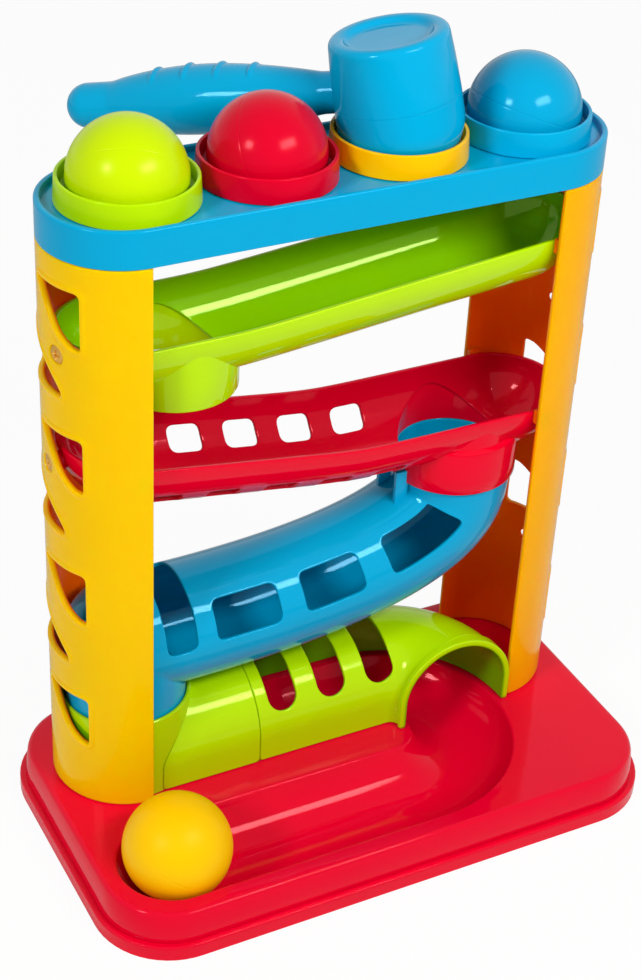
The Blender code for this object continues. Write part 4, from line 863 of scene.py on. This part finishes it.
def make_post(name, side, node, finish, holes):
    """A post on its side of the tower (-1 is left), with holes at (height, degrees)."""
    fronts = [d_window(window_top - index * window_pitch, front_shape) for index in range(4)]
    rears = [d_window(window_top - 0.734 * window_pitch - index * window_pitch, rear_shape, -1)
             for index in range(3)]
    centres = [np.array([height, math.radians(degrees) * post_middle]) for height, degrees in holes]
    rounds = [circle(hole_radius, 32, centre) for centre in centres]
    borders = [closed(anticlockwise(loop)) for loop in fronts + rears]

    def spot(flat, lift):
        angle, radius = flat[:, 1] / post_middle, post_middle + lift
        return np.column_stack([side * (post_x + radius * np.cos(angle)), -radius * np.sin(angle),
                                flat[:, 0]])

    def relief(flat):
        """A low ridge along each window and a flat-bottomed sink round each hole."""
        gap = reach(flat, borders)
        rise = limited((border_reach - gap) / border_slope) * limited(gap / border_start)
        lift = border_height * smooth(rise)
        for centre in centres:
            sink = (sink_radius - np.linalg.norm(flat - centre, axis=1)) / sink_slope
            lift = lift * (1 - limited(sink)) - sink_depth * smooth(sink)
        return lift

    half = post_middle * math.pi / 2
    sides = strip_sides(post_foot, post_top, half)
    shells = [walled(spot, joined(*sides), sides, fronts + rears + rounds, post_wall, edge=0.0006,
                     pitch=0.0030, relief=relief, extra_rows=(0.0013, 0.0017, 0.0021, border_reach, 0.0033))]
    turn = np.linspace(-math.pi / 2, math.pi / 2, 41)
    tongue = [at_height(arc(radius, turn, (post_x, 0.0)) * (side, 1.0), height)
              for radius, height in ((0.0283, 0.2690), (0.0283, 0.2792), (0.0265, 0.2792), (0.0265, 0.2690))]
    shells.append(capped(np.stack(tongue, axis=1)))
    shells += [post_clip(side, face, float(rim_height(line, side * post_x)))
               for line in (top_line, middle_line) for face in (-1, 1)]
    hand_over(name, shells, finish, "tower", "orange", node)


def post_shade_zone(x, y, z):
    """The distance from a post's upright middle line, and where the painted shade of its inner side starts.
    """
    past = (x * x) ** 0.5 - post_x
    return (past * past + y * y) ** 0.5, 0.0300, 0.0290


# Both posts are the same plastic; the right one is given a deeper amber, a painted shade for how light falls
# on it.
for word, side, green_after_shade, holes in (("left", -1, 0.57, (upper_screw, lower_screw)),
                                 ("right", 1, 0.43, ((0.1990, -18.0), (0.0770, -18.0)))):
    # Inside each half tube the amber is painted a deep orange: painted shade and bounced light inside the
    # post.
    amber = moulded_plastic("post_amber_" + word, (1.0, green_after_shade, 0.0), polish=0.14, gloss=0.14, hollow=post_shade_zone,
                            painted_shade=(1.0, 0.13, 0.0), bleed=0.6)
    make_post(word + "_ribbon", side, "post_" + word, amber, holes)


# The screws: two small steel screws with a cross recess, passivated a golden yellow and
# sunk in the left post. They bite in the troughs' pads.
head_radius, groove_half, groove_length, groove_depth = 0.0034, 0.00042, 0.0021, 0.0006


def make_screw(name, place, node):
    """A low domed head with two crossed grooves on a polar net, over a plain shank."""
    origin, out, side, up = post_frame(*place)
    turn = full_turn(64)[:, None]
    shares = np.linspace(0.0, 1.0, 29)
    radius = np.concatenate([head_radius * shares, [0.0035, 0.0035, 0.0016, 0.0016, 0.0]])
    along = np.concatenate([0.0304 + 0.0004 * (1 - shares ** 2), [0.0303, 0.0300, 0.0300, 0.0257, 0.0257]])
    a, b = radius * np.cos(turn), radius * np.sin(turn)
    groove = np.maximum(*(limited((groove_half - np.abs(narrow)) / 0.00012)
                          * limited((groove_length - np.abs(long)) / 0.0003)
                          for narrow, long in ((a, b), (b, a))))
    groove[:, len(shares):] = 0.0
    net = origin + out * (along - groove_depth * groove)[..., None] + a[..., None] * side + b[..., None] * up
    hand_over(name, [grid(net, round_rows=True)], steel, "tower", "steel", node)


bench = Bench(bpy.data.materials.new("screw_steel"))
place = bench.node("TexCoord", {}, {}, "Object")
brushed = bench.noise(bench.stretched(place, (3000.0, 900.0, 3000.0)), 1.0, 3.0)
zinc = bench.mix(brushed, (0.72, 0.36, 0.05), (0.86, 0.52, 0.12))
relief = bench.node("Bump", {}, {"Strength": 0.1, "Distance": 0.0001, "Height": brushed})
surface = bench.node("BsdfPrincipled", {}, {"Base Color": zinc, "Metallic": 1.0,
                                            "Roughness": 0.24 + brushed * 0.2, "Normal": relief})
bench.node("OutputMaterial", {}, {"Surface": surface})
steel = bench.holder
make_screw("upper_screw", upper_screw, "screw_top")
make_screw("lower_screw", lower_screw, "screw_middle")


# The deck: a blue stadium tray, skirted all round, with a floor a little below its rim
# and four round seats for the rings. One moulding that plugs over the posts' tongues.
deck_bottom, deck_top, deck_floor, deck_skin = 0.2710, 0.2860, 0.2835, 0.0024
ring_pitch, seat_radius, rib_half, rib_end, rib_start = 0.0554, 0.0255, 0.0010, 0.0288, 0.0085
ring_xs = [(index - 1.5) * ring_pitch for index in range(4)]


def round_stadium(section):
    """A closed section of (radius, height) pairs carried round a stadium."""
    turn = np.linspace(-math.pi / 2, math.pi / 2, 49)[:, None]
    x, y = post_x + section[:, 0] * np.cos(turn), section[:, 0] * np.sin(turn)
    x, y = np.vstack([x, -x]), np.vstack([y, -y])
    return looped(np.dstack([x, y, np.broadcast_to(section[:, 1], x.shape)]))


def deck_plate(flat, lift):
    return at_height(flat, deck_floor - deck_skin / 2 + lift)


skirt = eased([(0.0310, deck_bottom), (0.0310, deck_top), (0.0286, deck_top), (0.0286, deck_bottom)],
              (0.0003, 0.0011, 0.0009, 0.0003), 0.003)
seats = [circle(seat_radius, 96, (x, 0.0)) for x in ring_xs]
deck_shells = [round_stadium(skirt),
               walled(deck_plate, stadium(0.0290, 0.003), [], seats, deck_skin, edge=0.0003, pitch=0.004)]
for x in (-ring_pitch, 0.0, ring_pitch):
    for low, high in ((-rib_end, -rib_start), (rib_start, rib_end)):
        rib = box(x - rib_half, x + rib_half, low, high)
        deck_shells.append(capped([at_height(rib, height) for height in (
            deck_bottom + 0.0024, deck_floor - deck_skin / 2)]))
deck_blue = moulded_plastic("deck_blue", (0.0, 0.355, 0.620), polish=0.16, gloss=0.22)
hand_over("deck_moulding", deck_shells, deck_blue, "tower", "blue", "deck")


# The four rings: soft collars in lime, red, orange and blue, snapped in the deck's seats.
# Their inner lip holds a ball until the hammer drives it through. Moulded rubbery plastic.
ring_section = eased(
    [(0.02700, 0.2838), (0.02640, 0.2936), (0.02490, 0.2936), (0.02470, 0.2878), (0.02217, 0.2872),
     (0.02217, 0.2843), (0.02380, 0.2767), (0.02520, 0.2767), (0.02580, 0.2808), (0.02520, 0.2808),
     (0.02520, 0.2838)],
    (0.0004, 0.0006, 0.0006, 0.0007, 0.0006, 0.0005, 0.0004, 0.0004, 0.0, 0.0002, 0.0002), 0.0015)
for x, word, colour in zip(ring_xs, ("lime", "red", "orange", "blue"), (
        (0.465, 0.755, 0.0), (0.70, 0.0, 0.020), (1.0, 0.520, 0.0), (0.0, 0.375, 0.640))):
    finish = moulded_plastic(word + "_ring", colour, polish=0.20, peel=0.08, gloss=0.20)
    hand_over(word + "_collar", [turned(ring_section, (x, 0.0), 128)], finish,
              "tower", "soft_" + word, "ring_" + word)


# The four balls: hollow shells of softly glossy plastic, each welded from two halves, so
# a fine seam runs round every ball. Three sit in their rings; the yellow one has run.
ball_radius, seam_depth, seam_half, seated = 0.0225, 0.00009, 0.00022, 0.2927
azimuth, elevation, roll = map(math.radians, (-28.60, 33.64, 3.09))
forward = np.array([-math.sin(azimuth) * math.cos(elevation), math.cos(azimuth) * math.cos(elevation),
                    -math.sin(elevation)])
level_right = np.array([math.cos(azimuth), math.sin(azimuth), 0.0])
level_down = np.cross(forward, level_right)
photo_right = level_right * math.cos(roll) - level_down * math.sin(roll)
photo_down = level_right * math.sin(roll) + level_down * math.cos(roll)


def seamed_ball(centre, pole):
    """A ball on lines of latitude about its seam's pole. They crowd towards the equator,
    where the radius dips by the seam's depth."""
    t = np.linspace(-1.0, 1.0, 97)
    latitude = math.pi / 2 * (0.22 * t + 0.78 * t ** 3)
    radius = ball_radius - seam_depth * np.exp(-(latitude * ball_radius / seam_half) ** 2)
    turn = full_turn(128)[:, None]
    pole = unit(pole)
    across = unit(np.cross(pole, (0.3, 0.9, 0.1)))
    out = radius * np.cos(latitude)
    return grid(centre + pole * (np.sin(latitude) * radius)[None, :, None]
                + across * (out * np.cos(turn))[..., None]
                + np.cross(pole, across) * (out * np.sin(turn))[..., None], round_rows=True)


for word, centre, pole, colour, polish in (
        ("lime", (ring_xs[0], 0.0, seated), (0.0, 0.97, -0.25), (0.55, 0.755, 0.0), 0.24),
        ("red", (ring_xs[1], 0.0, seated), (0.90, 0.15, 0.42), (0.66, 0.0, 0.020), 0.18),
        ("blue", (ring_xs[3], 0.0, seated), (0.35, 0.90, 0.30), (0.0, 0.330, 0.570), 0.12),
        ("yellow", (-0.0905, -0.0655, 0.0269), (0.547, 0.726, 0.415), (1.0, 0.575, 0.0), 0.40)):
    pole = pole[0] * photo_right - pole[1] * photo_down - pole[2] * forward
    finish = moulded_plastic(word + "_ball", colour, polish, peel=0.06, gloss=0.22)
    hand_over(word + "_hollow_ball", [seamed_ball(centre, pole)], finish,
              "ball_" + word, word, "ball_" + word)


# The hammer: a blue barrel of two mouldings with a dished top and a rounded face, and a
# hollow moulded handle plugged in its side. It leans in the orange ring.
hammer_turn, hammer_lean, hammer_shift, face_height = math.radians(137.4), math.radians(12.0), 0.0025, 0.2859
lean_way, upright = np.array([math.cos(hammer_turn), math.sin(hammer_turn), 0.0]), np.array([0.0, 0.0, 1.0])
head_axis = lean_way * math.sin(hammer_lean) + upright * math.cos(hammer_lean)
grip_axis = lean_way * math.cos(hammer_lean) - upright * math.sin(hammer_lean)
face_centre = np.array([ring_xs[2], 0.0, face_height]) - hammer_shift * lean_way
grip_height, grip_start, grip_neck, grip_swell_end = 0.0233, 0.0180, 0.0290, 0.1141
grip_end, knob_radius, grip_radius, grip_taper, grip_swell = 0.1343, 0.0088, 0.0080, 0.0008, 0.0050
rib_x, rib_step, rib_width, rib_height = 0.0550, 0.0133, 0.0011, 0.0009


def stood(shell, origin, axis, forward_of):
    """Turns an upright shell so that its height runs along the axis from the origin."""
    points, faces = shell
    side = unit(np.cross(axis, forward_of))
    front = np.cross(side, axis)
    return origin + points[:, :1] * front + points[:, 1:2] * side + points[:, 2:] * axis, faces


def grip_net():
    """A round handle: neck, swell and knob along its length, with four thumb ribs that
    rise from its upper side and fade out round it."""
    knob_centre = grip_end - knob_radius
    along = np.concatenate([np.linspace(grip_start, knob_centre, 240),
                            knob_centre + knob_radius * np.sin(np.radians(np.linspace(0, 90, 25)))[1:]])
    share = limited((along - grip_neck) / (grip_swell_end - grip_neck))
    swell = grip_swell * np.sin(math.pi * share ** 1.15).clip(0.0) ** 0.8
    radius = grip_radius + grip_taper * share + swell
    kernel = np.exp(-(np.arange(-9, 10) / 4.0) ** 2)
    body = np.convolve(np.pad(radius[:240], 9, mode="edge"), kernel / kernel.sum(), mode="valid")
    past = np.maximum(along - knob_centre, 0.0) / knob_radius
    radius = np.concatenate([body, knob_radius * np.sqrt(np.maximum(1.0 - past ** 2, 0.0))[240:]])
    turn = full_turn(128)[:, None]
    from_top = np.abs((turn + math.pi) % (2 * math.pi) - math.pi)
    fade = smooth((math.radians(38.0) - from_top) / math.radians(18.0))
    ribs = np.zeros((len(turn), len(along)))
    for index in range(4):
        hump = np.sqrt(np.maximum(1.0 - ((along - rib_x - index * rib_step) / rib_width) ** 2, 0.0))
        ribs = np.maximum(ribs, rib_height * hump * fade)
    out = radius + ribs
    net = np.dstack([out * np.cos(turn), out * np.sin(turn), np.broadcast_to(along, out.shape)])
    root = np.dstack([0 * turn, 0 * turn, 0 * turn + grip_start])
    return grid(np.concatenate([root, net], axis=1), round_rows=True)


face_section = eased(
    [(0.0, 0.0), (0.0211, 0.0), (0.0230, 0.0046), (0.0244, 0.0086), (0.0243, 0.02048), (0.0222, 0.02048),
     (0.0222, 0.0236), (0.0196, 0.0236), (0.0196, 0.0024), (0.0, 0.0024)],
    (0.0, 0.0016, 0.0012, 0.0030, 0.00012, 0.0, 0.0003, 0.0003, 0.0010, 0.0), 0.0015)
barrel_section = eased(
    [(0.0243, 0.02052), (0.0238, 0.0320), (0.0227, 0.0454), (0.0174, 0.0454), (0.0158, 0.0432), (0.0, 0.0430),
     (0.0, 0.0410), (0.0187, 0.0410), (0.0224, 0.0238), (0.0224, 0.02052)],
    (0.00012, 0.0060, 0.0026, 0.0016, 0.0018, 0.0, 0.0, 0.0010, 0.0, 0.0), 0.0015)
hammer_blue = moulded_plastic("hammer_blue", (0.0, 0.365, 0.635), polish=0.08, gloss=0.20)
for name, section, node in (("striking_face", face_section, "hammer_face"),
                            ("barrel", barrel_section, "hammer_head")):
    hand_over(name, [stood(turned(section, sides=128), face_centre, head_axis, grip_axis)],
              hammer_blue, "hammer", "blue", node)
hand_over("grip", [stood(grip_net(), face_centre + head_axis * grip_height, grip_axis, head_axis)],
          hammer_blue, "hammer", "blue", "hammer_handle")


# The floor, the light and the camera: a pale sweep, two soft lamps in front, left and
# right of the camera, and an even white surround, as on a studio table.
floor_mesh = bpy.data.meshes.new("studio_floor")
floor_mesh.from_pydata([(-3, -3, 0), (3, -3, 0), (3, 3, 0), (-3, 3, 0)], [], [(0, 1, 2, 3)])
floor = bpy.data.objects.new("studio_floor", floor_mesh)
bpy.context.collection.objects.link(floor)
bench = Bench(bpy.data.materials.new("studio_floor"))
mottle = bench.noise(bench.node("TexCoord", {}, {}, "Object"), 6.0, 3.0)
shade = bench.mix(mottle, (0.86, 0.86, 0.86), (0.90, 0.90, 0.90))
paper = bench.node("BsdfPrincipled", {}, {"Base Color": shade, "Roughness": 0.9, "Specular IOR Level": 0.1})
white = bench.node("Emission", {}, {"Color": (1.0, 1.0, 1.0), "Strength": 1.0})
seen = bench.node("LightPath", {}, {}, "Is Camera Ray")
blend = bench.node("MixShader", {}, {0: seen * 0.94, 1: paper, 2: white})
bench.node("OutputMaterial", {}, {"Surface": blend})
floor_mesh.materials.append(bench.holder)

world = bpy.data.worlds.new("studio_surround")
bpy.context.scene.world = world
bench = Bench(world)
camera_ray, glossy_ray, through_ray = (bench.node("LightPath", {}, {}, "Is %s Ray" % word)
                                       for word in ("Camera", "Glossy", "Transmission"))
bright = camera_ray.at_least(glossy_ray).at_least(through_ray)
level = bench.node("MapRange", {}, {"Value": bright, "To Min": 0.36, "To Max": 1.0})
surround = bench.node("Background", {}, {"Color": (1.0, 1.0, 1.0), "Strength": level})
bench.node("OutputWorld", {}, {"Surface": surround})


def soft_lamp(name, place, width, height, power):
    """A rectangular softbox at a place, which faces the middle of the tower."""
    lamp = bpy.data.lights.new(name, "AREA")
    lamp.shape, lamp.size, lamp.size_y, lamp.energy = "RECTANGLE", width, height, power
    item = bpy.data.objects.new(name, lamp)
    item.location = place
    item.rotation_euler = (item.location - Vector((0.0, 0.0, 0.2))).to_track_quat("Z", "Y").to_euler()
    bpy.context.collection.objects.link(item)


soft_lamp("left_softbox", (-1.03, -0.42, 0.92), 0.26, 0.24, 7.0)
soft_lamp("right_softbox", (0.165, -0.53, 0.66), 0.34, 0.15, 3.5)

camera_place, focal_pixels, picture_height, film_height = (-0.3356, -0.6193, 0.6048), 2037.9, 980.0, 36.0
camera = bpy.data.cameras.new("camera")
camera.sensor_fit, camera.sensor_height = "VERTICAL", film_height
camera.lens = focal_pixels / picture_height * film_height
camera.clip_start = 0.01
viewer = bpy.data.objects.new("camera", camera)
columns = Matrix(np.array([photo_right, -photo_down, -forward]).tolist()).transposed().to_4x4()
viewer.matrix_world = Matrix.Translation(camera_place) @ columns
bpy.context.collection.objects.link(viewer)
bpy.context.scene.camera = viewer
bpy.context.scene.view_settings.view_transform = "Standard"
